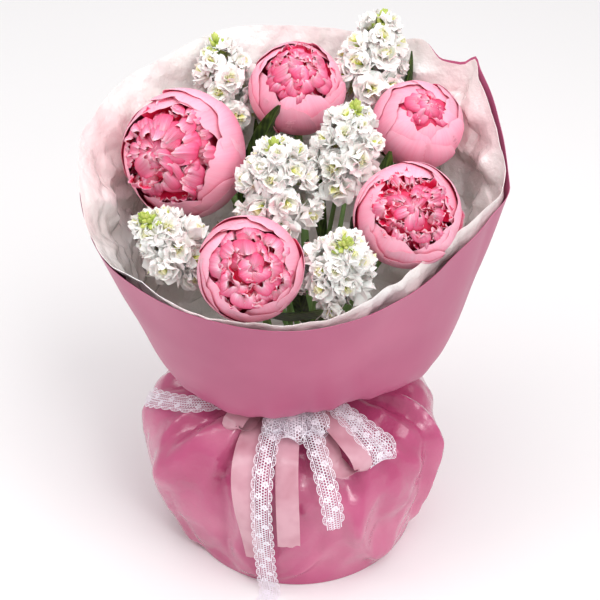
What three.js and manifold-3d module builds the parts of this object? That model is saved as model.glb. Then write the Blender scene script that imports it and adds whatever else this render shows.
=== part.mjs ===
// A hand-tied, wrapped bunch: five peonies and six stems of white stock in a film collar and
// liner, tied with satin and lace ribbon over a gathered film skirt.
// Millimetres, +Z up. The origin is the middle of the skirt's foot, on the surface it stands on.

import * as THREE from 'three';
import { mergeVertices } from 'three/addons/utils/BufferGeometryUtils.js';
import Module from 'manifold-3d';

const wasm = await Module();
wasm.setup();

// ---------------------------------------------------------------- driving dimensions

const GAP = 0.35; // clearance between pieces that touch on the real bunch
const FILM = 0.9; // wall thickness of the film sheets
const PETAL = 0.9; // thickness of petals
const LEAF = 0.9; // thickness of leaves
const RIBBON = 0.9; // thickness of ribbons

const TIE_HEIGHT = 170; // height of the binding point, where all stems cross
const TIE_BAND = 10; // height of the twine binding
const STEM_CIRCLE = 17; // radius of the circle on which the outer stems cross at the tie
const STEM_FOOT_CIRCLE = 64; // radius of the circle on which their cut ends stand
const INNER_STEM_OFFSET = 4.6; // distance of the two middle stems from the axis at the tie
const SPIRAL_LAG = 78; // degrees by which a stem crosses the tie behind its own head
const CALYX_HEIGHT = 0.2; // share of the bloom's radius
const SPIKE_NECK = 16; // bare stem under the lowest floret
const PEONY_STEM = 4;
const STOCK_STEM = 3.1;
const STEM_SIDES = 6;

// Blooms: centre, direction they face, radius, polar angle of the opening from the bloom's own axis,
// turn about it, and place of its stem round the tie. One has a loose petal off the globe.
const PEONIES = [
  { centre: [-106, 28, 408], face: [-26, -80, 50], radius: 60, opening: 56, turn: 20, slot: 144 },
  { centre: [-41, -106, 373], face: [3, -81, 58], radius: 47, opening: 54, turn: 75, slot: -127 },
  { centre: [115, 71, 415], face: [17, -51, 78], radius: 43, opening: 32, turn: 130, slot: 22 },
  {
    centre: [101, -44, 389], face: [4, -73, 67], radius: 48, opening: 49, turn: 10, slot: -8,
    loose: { azimuth: -15, halfWidth: 24, reach: 78, standOff: 0.13 },
  },
  { centre: [0, 95, 441], face: [0, -48, 82], radius: 45.5, opening: 46, turn: 55, slot: 90 },
];

// Spikes of stock: centre and radius of the floret cluster, and place of the stem round the tie.
const STOCKS = [
  { centre: [-69, 123, 432], radius: 33, slot: 116 },
  { centre: [74, 133, 452], radius: 34, slot: 62 },
  { centre: [46, 11, 428], radius: 35 },
  { centre: [-17, -27, 415], radius: 37 },
  { centre: [37, -97, 371], radius: 32, slot: -70 },
  { centre: [-115, -59, 368], radius: 31, slot: -160 },
];

// Leaves: where they leave their stem (share of its upper length), tip, width and upward arch.
const PEONY_LEAVES = [
  [{ at: 0.72, tip: [-16, 47, 450], width: 25, arch: [-4, 18, 4] }],
  [
    { at: 0.55, tip: [23, -119, 338], width: 24, arch: [2, -14, 8] },
    { at: 0.62, tip: [-72, -30, 372], width: 24, arch: [-6, 10, 0] },
  ],
  [],
  [
    { at: 0.6, tip: [87, 26, 413], width: 24, arch: [0, 12, 0] },
    { at: 0.55, tip: [50, -28, 376], width: 22, arch: [-6, 0, 0] },
  ],
  [],
];
const STOCK_LEAVES = [
  [],
  [{ at: 0.82, tip: [111, 139, 457], width: 13, arch: [25, 0, -22] }],
  [],
  [],
  [],
  [],
];

// Skirt: plan radii at the foot and at the widest height, per azimuth in degrees.
const SKIRT_FOOT = [[-90, 128], [0, 122], [90, 124], [180, 119]];
const SKIRT_WIDEST = [[-90, 138], [0, 142], [90, 138], [180, 152]];
// Its profile upward: height, share of the foot radius, share of the widest radius, pleat depth.
// What is left to 1 is the neck radius.
const SKIRT_PROFILE = [
  [0, 1, 0, 0],
  [36, 0.42, 0.58, 2.5],
  [106, 0, 1, 4],
  [139, 0, 0.89, 5.5],
  [154, 0, 0.66, 4.5],
  [160, 0, 0.3, 3],
  [161, 0, 0, 0],
  [178, 0, 0, 0],
];
const SKIRT_PLEATS = 8;

// Collar: radius and height of the rim and of the fold at its foot, per azimuth in degrees.
const COLLAR_RIM = [
  [-90, 158, 343], [-72, 154, 345], [-51, 148, 346], [-28, 153, 354], [-6, 179, 368],
  [4, 200, 383], [15, 199, 420], [36, 210, 455], [43, 196, 447], [50, 192, 464],
  [62, 187, 450], [90, 181, 455], [112, 186, 450], [135, 190, 438], [158, 197, 424],
  [-176, 200, 396], [-158, 186, 353], [-141, 170, 345], [-120, 162, 343],
];
const COLLAR_FOLD = [
  [-88, 99, 200], [-59, 97, 201], [-22, 129, 204], [10, 149, 213], [90, 106, 215],
  [135, 118, 214], [180, 133, 209], [-157, 127, 204], [-108, 109, 199],
];
const COLLAR_BULGE = 3; // outward bow of the wall halfway up
const LINER_INSET = 3.2; // liner inside the collar
const LINER_CRINKLE = 5; // depth of its crinkles
// Height of the liner's edge above the collar's, per azimuth in degrees.
const LINER_RISE = [
  [-90, 2], [-50, 5], [-20, 7], [4, 2], [36, -6], [62, 4], [90, 10], [130, 14], [160, 13],
  [-176, 8], [-150, 4],
];
const NECK_BOTTOM = 161;
const NECK_TOP = 180;
const WRAP_SIDES = 32; // facets round each film sheet


// ---------------------------------------------------------------- geometry helpers

const UP = new THREE.Vector3(0, 0, 1);
const radians = THREE.MathUtils.degToRad;
const lerp = THREE.MathUtils.lerp;
const point = (x, y, z) => new THREE.Vector3(x, y, z);
const polar = (azimuth, radius, height) =>
  point(radius * Math.cos(azimuth), radius * Math.sin(azimuth), height);

/** Repeatable random numbers from 0 to 1. */
function seededRandom(seed) {
  let state = seed;
  return () => {
    state = (Math.imul(state, 1664525) + 1013904223) >>> 0;
    return state / 2 ** 32;
  };
}

/** Whole numbers from 0 to count - 1. */
const range = (count) => Array.from({ length: count }, (_, index) => index);

/** A value read off a table of [azimuth in degrees, value, ...] rows that runs round the object. */
function around(table, column = 1) {
  const rows = [...table].sort((a, b) => a[0] - b[0]);
  const last = rows[rows.length - 1];
  const ring = [[last[0] - 360, ...last.slice(1)], ...rows, [rows[0][0] + 360, ...rows[0].slice(1)]];
  return (azimuth) => {
    const degrees = THREE.MathUtils.euclideanModulo(
      THREE.MathUtils.radToDeg(azimuth) - ring[0][0], 360) + ring[0][0];
    const next = ring.findIndex((row) => row[0] >= degrees);
    const [low, high] = [ring[Math.max(next - 1, 0)], ring[next]];
    const share = THREE.MathUtils.smoothstep(degrees, low[0], high[0]);
    return lerp(low[column], high[column], share);
  };
}

/** A closed surface from points and triangles, turned so that its faces point out. */
function closedGeometry(points, triangles) {
  let volume = 0;
  for (let i = 0; i < triangles.length; i += 3) {
    const [a, b, c] = [points[triangles[i]], points[triangles[i + 1]], points[triangles[i + 2]]];
    volume += a.dot(b.clone().cross(c));
  }
  const geometry = new THREE.BufferGeometry();
  geometry.setAttribute('position', new THREE.Float32BufferAttribute(
    points.flatMap((p) => p.toArray()), 3));
  geometry.setIndex(volume > 0 ? triangles : [...triangles].reverse());
  return geometry;
}

/**
 * A solid through closed rings of equal length: joined end to start, or closed at both ends by a
 * fan round the ring's middle or round the tip given for that end.
 */
function loft(rings, cyclic = false, tips = []) {
  const count = rings[0].length;
  const points = rings.flat();
  const triangles = [];
  for (const i of range(cyclic ? rings.length : rings.length - 1)) {
    for (const j of range(count)) {
      const [a, b] = [i * count + j, i * count + (j + 1) % count];
      const above = ((i + 1) % rings.length) * count;
      const [c, d] = [above + j, above + (j + 1) % count];
      triangles.push(a, b, d, a, d, c);
    }
  }
  if (!cyclic) {
    const top = (rings.length - 1) * count;
    const middle = (ring) => ring.reduce((sum, p) => sum.add(p), point(0, 0, 0)).divideScalar(count);
    for (const [start, tip, below] of [[0, tips[0], true], [top, tips[1], false]]) {
      const centre = points.length;
      points.push(tip ?? middle(rings[start / count]));
      for (const j of range(count)) {
        const [a, b] = [start + j, start + (j + 1) % count];
        triangles.push(...(below ? [centre, b, a] : [centre, a, b]));
      }
    }
  }
  return closedGeometry(points, triangles);
}

/** The normals of a grid of points, from the differences to each point's neighbours. */
function gridNormals(rows, cyclic = false) {
  return rows.map((row, i) => row.map((_, j) => {
    const count = row.length;
    const [left, right] = cyclic
      ? [(j + count - 1) % count, (j + 1) % count]
      : [Math.max(j - 1, 0), Math.min(j + 1, count - 1)];
    const [below, above] = [Math.max(i - 1, 0), Math.min(i + 1, rows.length - 1)];
    const across = row[right].clone().sub(row[left]);
    const along = rows[above][j].clone().sub(rows[below][j]);
    return across.cross(along).normalize();
  }));
}

/** A thin blade: a grid of points thickened alike to both faces, both split the same way. */
function blade(rows, thickness) {
  const normals = gridNormals(rows);
  const [height, width] = [rows.length, rows[0].length];
  const shifted = (side) => rows.flatMap((row, i) =>
    row.map((p, j) => p.clone().addScaledVector(normals[i][j], side * thickness / 2)));
  const points = [...shifted(1), ...shifted(-1)];
  const back = height * width;
  const triangles = [];
  for (const i of range(height - 1)) {
    for (const j of range(width - 1)) {
      const [a, b] = [i * width + j, i * width + j + 1];
      const [c, d] = [a + width, b + width];
      triangles.push(a, b, d, a, d, c, back + a, back + d, back + b, back + a, back + c, back + d);
    }
  }
  const border = [
    ...range(width - 1),
    ...range(height - 1).map((i) => i * width + width - 1),
    ...range(width - 1).map((j) => (height - 1) * width + width - 1 - j),
    ...range(height - 1).map((i) => (height - 1 - i) * width),
  ];
  border.forEach((a, i) => {
    const b = border[(i + 1) % border.length];
    triangles.push(a, back + a, back + b, a, back + b, b);
  });
  return closedGeometry(points, triangles);
}

/** A sheet that runs right round: its rings, thickened inward, joined at both edges. */
function wrapSheet(rings, thickness) {
  const normals = gridNormals(rings, true);
  const inner = rings.map((ring, i) => ring.map((p, j) =>
    p.clone().addScaledVector(normals[i][j], -thickness)));
  return loft([...rings, ...inner.reverse()], true);
}

/** A round bar along a line of points; its first end can be cut level with the ground. */
function bar(line, radius, sides, levelStart = false) {
  const rings = line.map((p, i) => {
    const [before, after] = [line[Math.max(i - 1, 0)], line[Math.min(i + 1, line.length - 1)]];
    const along = after.clone().sub(before).normalize();
    const side = along.z > 0.999 ? point(1, 0, 0) : along.clone().cross(UP).normalize();
    const front = side.clone().cross(along);
    return range(sides).map((k) => {
      const angle = 2 * Math.PI * k / sides;
      const offset = side.clone().multiplyScalar(radius * Math.cos(angle))
        .addScaledVector(front, radius * Math.sin(angle));
      if (levelStart && i === 0) offset.addScaledVector(along, -offset.z / along.z);
      return p.clone().add(offset);
    });
  });
  return loft(rings);
}

/** A solid turned about the Z axis, from [radius, height] corners. */
const turned = (corners, sides) => new THREE.LatheGeometry(
  corners.map(([radius, height]) => new THREE.Vector2(radius, height)), sides).rotateX(Math.PI / 2);

/** A geometry as a solid that can be joined and cut. */
function toSolid(geometry) {
  const bare = geometry.clone();
  bare.deleteAttribute('normal');
  bare.deleteAttribute('uv');
  const merged = mergeVertices(bare, 1e-4);
  return new wasm.Manifold(new wasm.Mesh({
    numProp: 3,
    vertProperties: new Float32Array(merged.attributes.position.array),
    triVerts: new Uint32Array(merged.index.array),
  }));
}

/** The geometry of a solid. */
function toGeometry(solid) {
  const mesh = solid.getMesh();
  const geometry = new THREE.BufferGeometry();
  geometry.setAttribute('position', new THREE.BufferAttribute(mesh.vertProperties, 3));
  geometry.setIndex(new THREE.BufferAttribute(mesh.triVerts, 1));
  return geometry;
}

/** Several geometries fused into one solid. */
const fuse = (geometries) => geometries.map(toSolid).reduce((whole, next) => whole.add(next));

// ---------------------------------------------------------------- peonies

const GLOBE_HEIGHT = 0.92; // height of a bloom as a share of its width
const ROOT_POLAR = 15; // polar angle of the petals' roots from the bottom of the globe
const RECEPTACLE = 0.26; // radius of the flat seat under the bloom, as a share of its radius
const SEAT_DEPTH = 0.93; // depth of that seat below the centre, same share
const OUTER_PETALS = { count: 4, halfWidth: 54, radius: 0.96, reachBack: 14 };
const INNER_PETALS = { count: 3, halfWidth: 66, radius: 0.845, reachBack: 0 };
const OVERLAP_LIFT = 0.035; // one edge of a petal lies outside its neighbour, the other inside
const FRILL = 0.012; // depth of the waves in its rim
const CORE_RADIUS = 0.58;
const CORE_SIDES = 7;
const TUFT_RINGS = [0.78, 0.42, 0]; // rings of ruffled petals, as shares of the opening
const TUFT_SPACING = 0.9; // room for each of them, as a share of the bloom's radius

/** Half the width of a petal along its length, as a share of its greatest half width. */
const petalOutline = (v) => Math.sin(Math.PI * (0.06 + 0.8 * v)) ** 0.75;

/**
 * One broad petal that follows the globe of the bloom from its root up to the opening, or stands
 * off it by a share of the radius at its tip.
 */
function guardPetal(radius, azimuth, halfWidth, reach, standOff = 0) {
  const rows = range(4).map((i) => {
    const v = i / 3;
    const polarAngle = radians(lerp(ROOT_POLAR, reach, v));
    return range(5).map((j) => {
      const u = j / 2 - 1;
      const tipDrop = radians(9) * v * v * u * u;
      const angle = polarAngle - tipDrop;
      const frill = FRILL * v * v * Math.sin(2.6 * u + azimuth);
      const distance = radius * (1 + OVERLAP_LIFT * u + frill + standOff * v);
      const spread = azimuth + radians(halfWidth) * petalOutline(v) * u;
      return polar(spread, distance * Math.sin(angle), -GLOBE_HEIGHT * distance * Math.cos(angle));
    });
  });
  return blade(rows, PETAL);
}

/** A layer of broad petals, overlapping like tiles. */
function guardLayer(bloom, layer, turn, random) {
  return range(layer.count).map((i) => {
    const azimuth = radians(turn) + 2 * Math.PI * i / layer.count + 0.1 * (random() - 0.5);
    const reach = 180 - bloom.opening - layer.reachBack;
    return guardPetal(bloom.radius * layer.radius, azimuth, layer.halfWidth, reach);
  });
}

/** The petal that stands off the globe, on a bloom that has one. */
function loosePetals({ radius, loose }) {
  if (!loose) return [];
  const { azimuth, halfWidth, reach, standOff } = loose;
  return [guardPetal(radius, radians(azimuth), halfWidth, reach, standOff)];
}

/** One small ruffled petal in the opening, standing on the core at a place in its ring. */
function tuftPetal(bloom, fromAxis, azimuth, halfWidth, reach) {
  const out = polar(azimuth, Math.sin(fromAxis), Math.cos(fromAxis));
  const across = polar(azimuth + Math.PI / 2, 1, 0);
  const inward = across.clone().cross(out).normalize();
  const rows = [0.35, 1, 0.75].map((widening, k) => range(3).map((j) => {
    const u = j - 1;
    const droop = 0.06 * bloom.radius * k * u * u;
    return out.clone().multiplyScalar(lerp(0.48, reach, k / 2) * bloom.radius - droop)
      .addScaledVector(across, halfWidth * widening * u)
      .addScaledVector(inward, bloom.radius * (0.06 * u * u - 0.04 * k));
  }));
  return blade(rows, PETAL);
}

/** The tuft of small petals, ring within ring. */
function tuft(bloom, random) {
  const widest = 0.22 * bloom.radius * Math.sin(radians(bloom.opening)) ** 0.5;
  return TUFT_RINGS.flatMap((out, ring) => {
    const fromAxis = radians(out * bloom.opening);
    const round = 2 * Math.PI * Math.sin(fromAxis);
    const count = Math.max(1, Math.round(round / TUFT_SPACING));
    return range(count).map((i) => {
      const azimuth = 2 * Math.PI * (i + 0.5 * ring) / count + 0.2 * (random() - 0.5);
      const halfWidth = count > 1 ? Math.min(widest, 0.3 * round * bloom.radius / count) : 0.7 * widest;
      return tuftPetal(bloom, fromAxis, azimuth, halfWidth, lerp(0.68, 0.78, random()));
    });
  });
}

/** The smaller body inside the bloom that every petal is rooted in. */
function bloomCore(radius) {
  return turned([
    [0, -SEAT_DEPTH], [RECEPTACLE, -SEAT_DEPTH], [0.38, -0.72], [CORE_RADIUS, -0.1],
    [0.42, 0.42], [0, 0.55],
  ].map((corner) => corner.map((share) => share * radius)), CORE_SIDES);
}

/** A whole bloom, about its own centre and axis. */
function peonyBloom(bloom, seed) {
  const random = seededRandom(seed);
  return toGeometry(fuse([
    bloomCore(bloom.radius),
    ...guardLayer(bloom, INNER_PETALS, 40, random),
    ...guardLayer(bloom, OUTER_PETALS, 0, random),
    ...loosePetals(bloom),
    ...tuft(bloom, random),
  ]));
}

// ---------------------------------------------------------------- stock

const GOLDEN_ANGLE = Math.PI * (3 - Math.sqrt(5));
const FLORETS = 10;
const SPIKE_HALF = 29; // height of the first and last floret from the middle of the spike
const FLORET_LOBES = 4;
const BUD_RISE = 16; // the tip above the last floret
const BUD_ROOM = [34, 10.4]; // height and radius of the space that the buds keep in the spike

/** One double floret: a ruffled disc that faces out, on a body that tapers to its root. */
function floret(root, facing, reach, radius, random) {
  const across = facing.clone().cross(UP).normalize();
  const upward = across.clone().cross(facing).normalize();
  const turn = 2 * Math.PI * random();
  const ring = (share, height) => range(2 * FLORET_LOBES).map((i) => {
    const angle = turn + Math.PI * i / FLORET_LOBES;
    const lobe = i % 2 ? 0.84 : 1.06;
    const wave = (i % 2 ? 0.1 : -0.08) * radius;
    return root.clone()
      .addScaledVector(facing, reach + height * radius + wave)
      .addScaledVector(across, share * lobe * radius * Math.cos(angle))
      .addScaledVector(upward, share * lobe * radius * Math.sin(angle));
  });
  return loft([ring(1, -0.12), ring(0.42, 0.06)], false, [root]);
}

/** The white florets of a spike, fused round the stem that runs up through them. */
function stockFlorets(stock, seed) {
  const random = seededRandom(seed);
  const core = turned([
    [0, -SPIKE_HALF - 8], [0.34 * stock.radius, -SPIKE_HALF + 4], [0.26 * stock.radius, SPIKE_HALF],
    [0, SPIKE_HALF + 4],
  ], STEM_SIDES);
  const florets = range(FLORETS).map((i) => {
    const along = i / (FLORETS - 1);
    const azimuth = GOLDEN_ANGLE * i + 0.3 * random();
    const tilt = radians(lerp(2, 52, along ** 1.5));
    const facing = point(Math.cos(azimuth) * Math.cos(tilt), Math.sin(azimuth) * Math.cos(tilt),
      Math.sin(tilt));
    const root = point(0, 0, lerp(-SPIKE_HALF, SPIKE_HALF - 8, along));
    const size = stock.radius * lerp(0.56, 0.44, along);
    return floret(root, facing, stock.radius * lerp(0.84, 0.66, along), size, random);
  });
  const channelRadius = (STOCK_STEM + 1.5 * GAP) / Math.cos(Math.PI / STEM_SIDES);
  const channel = bar([point(0, 0, -70), point(0, 0, 70)], channelRadius, STEM_SIDES);
  const budRoom = turned([[0, BUD_ROOM[0]], [BUD_ROOM[1], BUD_ROOM[0]], [BUD_ROOM[1], 70], [0, 70]],
    STEM_SIDES);
  return toGeometry(fuse([core, ...florets]).subtract(toSolid(channel)).subtract(toSolid(budRoom)));
}

/** The cluster of green buds at the tip of a spike. */
function budCluster(tip, axis) {
  const turn = new THREE.Quaternion().setFromUnitVectors(UP, axis);
  const bud = (radius, azimuth, distance, height) => {
    const shape = new THREE.OctahedronGeometry(radius).scale(1, 1, 1.5);
    const place = polar(azimuth, distance, height).applyQuaternion(turn).add(tip);
    return shape.applyQuaternion(turn).translate(place.x, place.y, place.z);
  };
  const sides = range(3).map((i) => bud(3.6, i * 2 * Math.PI / 3, 5, -5));
  return [bud(4.6, 0, 0, 1), ...sides];
}

// ---------------------------------------------------------------- stems and leaves

const SHEET_FLOOR = FILM; // top of the film that the cut ends stand on
const LEAF_ROWS = 5;

/** A pointed leaf with a folded midrib, from a point inside its stem to its tip. */
function leaf(root, { tip, width, arch }) {
  const end = point(...tip);
  const bend = root.clone().add(end).multiplyScalar(0.5).add(point(...arch));
  const rib = new THREE.QuadraticBezierCurve3(root, bend, end);
  const outward = point(end.x, end.y, 0).normalize();
  const rows = range(LEAF_ROWS + 1).map((i) => {
    const v = i / LEAF_ROWS;
    const along = rib.getTangent(v);
    const side = along.clone().cross(outward).normalize();
    const face = side.clone().cross(along).normalize();
    const half = width / 2 * Math.sin(Math.PI * (0.08 + 0.87 * v)) ** 0.85;
    return [-1, 0, 1].map((u) => rib.getPoint(v)
      .addScaledVector(side, half * u)
      .addScaledVector(face, 0.3 * half * Math.abs(u)));
  });
  return blade(rows, LEAF);
}

/** The axis of a head: from the tie out to the head's centre. */
const headAxis = (centre) => point(...centre).sub(point(0, 0, TIE_HEIGHT)).normalize();

/** Where a peony's stem ends in its calyx, and the seat of the bloom on that calyx. */
function peonySeat(bloom) {
  const axis = point(...bloom.face).normalize();
  const seat = point(...bloom.centre).addScaledVector(axis, -SEAT_DEPTH * bloom.radius - GAP);
  return { axis, seat, under: seat.clone().addScaledVector(axis, -CALYX_HEIGHT * bloom.radius) };
}

/** Where a stem of stock enters its spike. */
const spikeEntry = ({ centre }) =>
  point(...centre).addScaledVector(headAxis(centre), -SPIKE_HALF - SPIKE_NECK);

/**
 * Where each stem crosses the tie and where it stands. A stem with a slot spirals round the others;
 * one without stands in the middle of them.
 */
function stemRoutes() {
  const stems = [
    ...PEONIES.map((bloom, i) =>
      ({ key: `peony_${i + 1}`, slot: bloom.slot, top: peonySeat(bloom).under })),
    ...STOCKS.map((stock, i) =>
      ({ key: `stock_${i + 1}`, slot: stock.slot, top: spikeEntry(stock) })),
  ];
  const footHeight = SHEET_FLOOR + GAP;
  const travel = Math.sqrt(STEM_FOOT_CIRCLE ** 2 - STEM_CIRCLE ** 2);
  return new Map(stems.map(({ key, slot, top }) => {
    if (slot === undefined) {
      const azimuth = Math.atan2(top.y, top.x);
      return [key, {
        waist: polar(azimuth, INNER_STEM_OFFSET, TIE_HEIGHT),
        foot: polar(azimuth - Math.PI / 2, 3 * INNER_STEM_OFFSET, footHeight),
      }];
    }
    const azimuth = radians(slot - SPIRAL_LAG);
    const foot = polar(azimuth, STEM_CIRCLE, footHeight)
      .add(polar(azimuth - Math.PI / 2, travel, 0));
    return [key, { waist: polar(azimuth, STEM_CIRCLE, TIE_HEIGHT), foot }];
  }));
}

/** A peony's stem, with the calyx that the bloom sits on and its leaves. */
function peonyStem(bloom, { foot, waist }, leaves) {
  const { axis, seat, under } = peonySeat(bloom);
  const ring = (at, radius) => range(8).map((i) => polar(i * Math.PI / 4, radius, 0)
    .applyQuaternion(new THREE.Quaternion().setFromUnitVectors(UP, axis)).add(at));
  const calyx = loft([
    ring(under, PEONY_STEM * 1.1),
    ring(seat.clone().addScaledVector(axis, -2.5), RECEPTACLE * bloom.radius),
    ring(seat, RECEPTACLE * bloom.radius),
  ]);
  const neck = seat.clone().addScaledVector(axis, -1.5);
  return toGeometry(fuse([
    bar([foot, waist, under, neck], PEONY_STEM, STEM_SIDES, true),
    calyx,
    ...leaves.map((each) => leaf(waist.clone().lerp(under, each.at), each)),
  ]));
}

/** A stem of stock, up through its florets to the buds at its tip. */
function stockStem(stock, { foot, waist }, leaves) {
  const axis = headAxis(stock.centre);
  const centre = point(...stock.centre);
  const entry = spikeEntry(stock);
  const tip = centre.clone().addScaledVector(axis, SPIKE_HALF + BUD_RISE);
  return toGeometry(fuse([
    bar([foot, waist, entry, tip], STOCK_STEM, STEM_SIDES, true),
    ...budCluster(tip, axis),
    ...leaves.map((each) => leaf(waist.clone().lerp(entry, each.at), each)),
  ]));
}

// ---------------------------------------------------------------- film wrap

const TIE_INNER = STEM_CIRCLE + PEONY_STEM + 1;
const TIE_OUTER = TIE_INNER + 2;
const LINER_NECK = TIE_OUTER + GAP + FILM;
const COLLAR_NECK = LINER_NECK + GAP + FILM;
const SKIRT_NECK = COLLAR_NECK + GAP + FILM;

const BAND_SIDES = 16; // facets round the twine and the ribbons' bands
const azimuths = range(WRAP_SIDES).map((i) => 2 * Math.PI * i / WRAP_SIDES);

/** The skirt's radius without its pleats on one row of its profile. */
function skirtRadius(azimuth, [, footShare, widestShare]) {
  return footShare * around(SKIRT_FOOT)(azimuth) + widestShare * around(SKIRT_WIDEST)(azimuth)
    + (1 - footShare - widestShare) * SKIRT_NECK;
}

/** The gathered skirt: a bag of film, closed and flat below, open at its neck. */
function skirtFilm() {
  const random = seededRandom(11);
  const lean = azimuths.map(() => random() - 0.5);
  const outer = SKIRT_PROFILE.map((row) => azimuths.map((azimuth, j) => {
    const pleat = row[3] * (0.7 * Math.cos(SKIRT_PLEATS * azimuth) - 0.3 + 0.6 * lean[j]);
    return polar(azimuth, skirtRadius(azimuth, row) + pleat, row[0]);
  }));
  const normals = gridNormals(outer, true);
  const inner = outer.map((ring, i) => ring.map((p, j) => {
    const inset = p.clone().addScaledVector(normals[i][j], -FILM);
    const height = i === 0 ? SHEET_FLOOR : inset.z;
    return point(inset.x, inset.y, i === outer.length - 1 ? p.z : height);
  }));
  return loft([...outer, ...inner.reverse()]);
}

/** Rings of the collar's outer face, from the bottom of its neck to its rim. */
function collarRings(neckRadius) {
  const ring = (radius, height) => azimuths.map((a) => polar(a, radius(a), height(a)));
  const [foldRadius, foldHeight] = [around(COLLAR_FOLD, 1), around(COLLAR_FOLD, 2)];
  const [rimRadius, rimHeight] = [around(COLLAR_RIM, 1), around(COLLAR_RIM, 2)];
  return [
    ring(() => neckRadius, () => NECK_BOTTOM),
    ring(() => neckRadius, () => NECK_TOP),
    ring((a) => lerp(neckRadius, foldRadius(a), 0.55), (a) => lerp(NECK_TOP, foldHeight(a), 0.35)),
    ring(foldRadius, foldHeight),
    ring((a) => lerp(foldRadius(a), rimRadius(a), 0.5) + COLLAR_BULGE,
      (a) => lerp(foldHeight(a), rimHeight(a), 0.5)),
    ring(rimRadius, rimHeight),
  ];
}

/** The liner: the collar's shape set in, crinkled, its edge rising above the collar's. */
function linerFilm() {
  const random = seededRandom(23);
  const rise = around(LINER_RISE);
  const rings = collarRings(LINER_NECK).map((ring, i) => ring.map((p, j) => {
    if (i === 0) return p;
    if (i === 1) return point(p.x, p.y, p.z + LINER_INSET);
    const azimuth = azimuths[j];
    const inset = LINER_INSET + (i > 3 ? LINER_CRINKLE * random() : 0);
    const lift = i === 5 ? rise(azimuth) : 0;
    const raise = i < 4 ? LINER_INSET : 0;
    return point(p.x, p.y, p.z + lift + raise).addScaledVector(polar(azimuth, 1, 0), -inset);
  }));
  return wrapSheet(rings, FILM);
}

/** A plain ring round the neck. */
function neckBand(inner, outer, low, high) {
  return turned([[inner, low], [outer, low], [outer, high], [inner, high], [inner, low]], BAND_SIDES);
}

// ---------------------------------------------------------------- ribbons

const BAND_INNER = (SKIRT_NECK + GAP) / Math.cos(Math.PI / BAND_SIDES);
const SATIN = { width: 22, band: [162, 169.5], knot: -95 };
const LACE = { width: 21, band: [170.5, 178], knot: -92 };
const KNOT = { width: 17, depth: 7 };
const PLEAT_ROOM = 3.5; // ribbons lie clear of the pleats by this much
// Ribbon runs: azimuth in degrees at the start and at the end, share of the skirt's profile where
// they end (0 is the foot, 1 the neck), and height above the film at the start and at the end.
const SATIN_TAILS = [
  { from: -96, to: -93, end: 0.19, lift: [2, 1.5] },
  { from: -118, to: -103, end: 0.22, lift: [2, 1.5] },
];
const SATIN_LOOPS = [
  { from: -74, to: -66, end: 0.5, lift: [1.5, 1.5], spread: 4 },
  { from: -130, to: -126, end: 0.68, lift: [1.5, 1.5], spread: 4 },
];
const LACE_TAILS = [
  { from: -106, to: -101, end: 0.02, lift: [10, 5], onGround: 22 },
  { from: -84, to: -76, end: 0.27, lift: [10, 4.5] },
  { from: -126, to: -180, end: 0.42, lift: [10, 3] },
];
const LACE_LOOPS = [{ from: -62, to: -45, end: 0.5, lift: [10, 3], spread: 4 }];

/** The height and radius of the skirt's profile at a share of its length, foot to neck. */
function skirtAt(azimuth, share) {
  const rows = SKIRT_PROFILE.slice(0, -1);
  const curve = new THREE.CatmullRomCurve3(
    rows.map((row) => point(skirtRadius(azimuth, row), 0, row[0])));
  return curve.getPoint(share);
}

/** A place over the skirt, lifted square to its surface, and the direction of that lift. */
function overSkirt(azimuth, share, lift) {
  const here = skirtAt(azimuth, share);
  const slope = skirtAt(azimuth, Math.min(share + 0.02, 1))
    .sub(skirtAt(azimuth, Math.max(share - 0.02, 0)));
  const [outward, upward] = [slope.z / slope.length(), -slope.x / slope.length()];
  const clear = lift + PLEAT_ROOM * Math.min(1, 4 * (1 - share));
  return {
    at: polar(azimuth, here.x + outward * clear, Math.max(here.z + upward * clear, 1.5)),
    normal: polar(azimuth, outward, upward),
  };
}

/** A ribbon along a line of places, narrowed at its start and, on a loop, at its end. */
function ribbonStrip(line, width, isLoop) {
  const last = line.length - 1;
  const narrowing = (fromEnd) => Math.min(1, 0.35 + 0.25 * fromEnd);
  return blade(line.map(({ at, normal }, i) => {
    const along = line[Math.min(i + 1, last)].at.clone().sub(line[Math.max(i - 1, 0)].at);
    const side = along.cross(normal).normalize();
    const half = width / 2 * narrowing(isLoop ? Math.min(i, last - i) : i);
    return [-1, 1].map((u) => at.clone().addScaledVector(side, u * half));
  }), RIBBON);
}

/** The middle of a ribbon's knot. */
const knotCentre = ({ knot, band }) =>
  polar(radians(knot), BAND_INNER + KNOT.depth / 2, (band[0] + band[1]) / 2);

/** Where a tail or loop starts or ends, inside the knot and this much above its middle. */
const inKnot = (kind, above, normal) => ({ at: knotCentre(kind).add(point(0, 0, above)), normal });

/** Places over the skirt from the neck out to where a run ends, this much higher than it lies. */
function runLine({ from, to, end, lift }, raise, steps) {
  return range(steps + 1).map((i) => {
    const v = i / steps;
    return overSkirt(radians(lerp(from, to, v)), lerp(0.92, end, v), lerp(...lift, v) + raise);
  });
}

/** A tail: from the knot out over the skirt's shoulder and down, and on along the ground. */
function tailLine(kind, run) {
  const line = [inKnot(kind, 0, UP), ...runLine(run, 0, 7)];
  if (run.onGround) {
    const { at } = line[line.length - 1];
    line.push({ at: at.clone().setZ(1).add(polar(radians(run.to), run.onGround, 0)), normal: UP });
  }
  return line;
}

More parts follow.
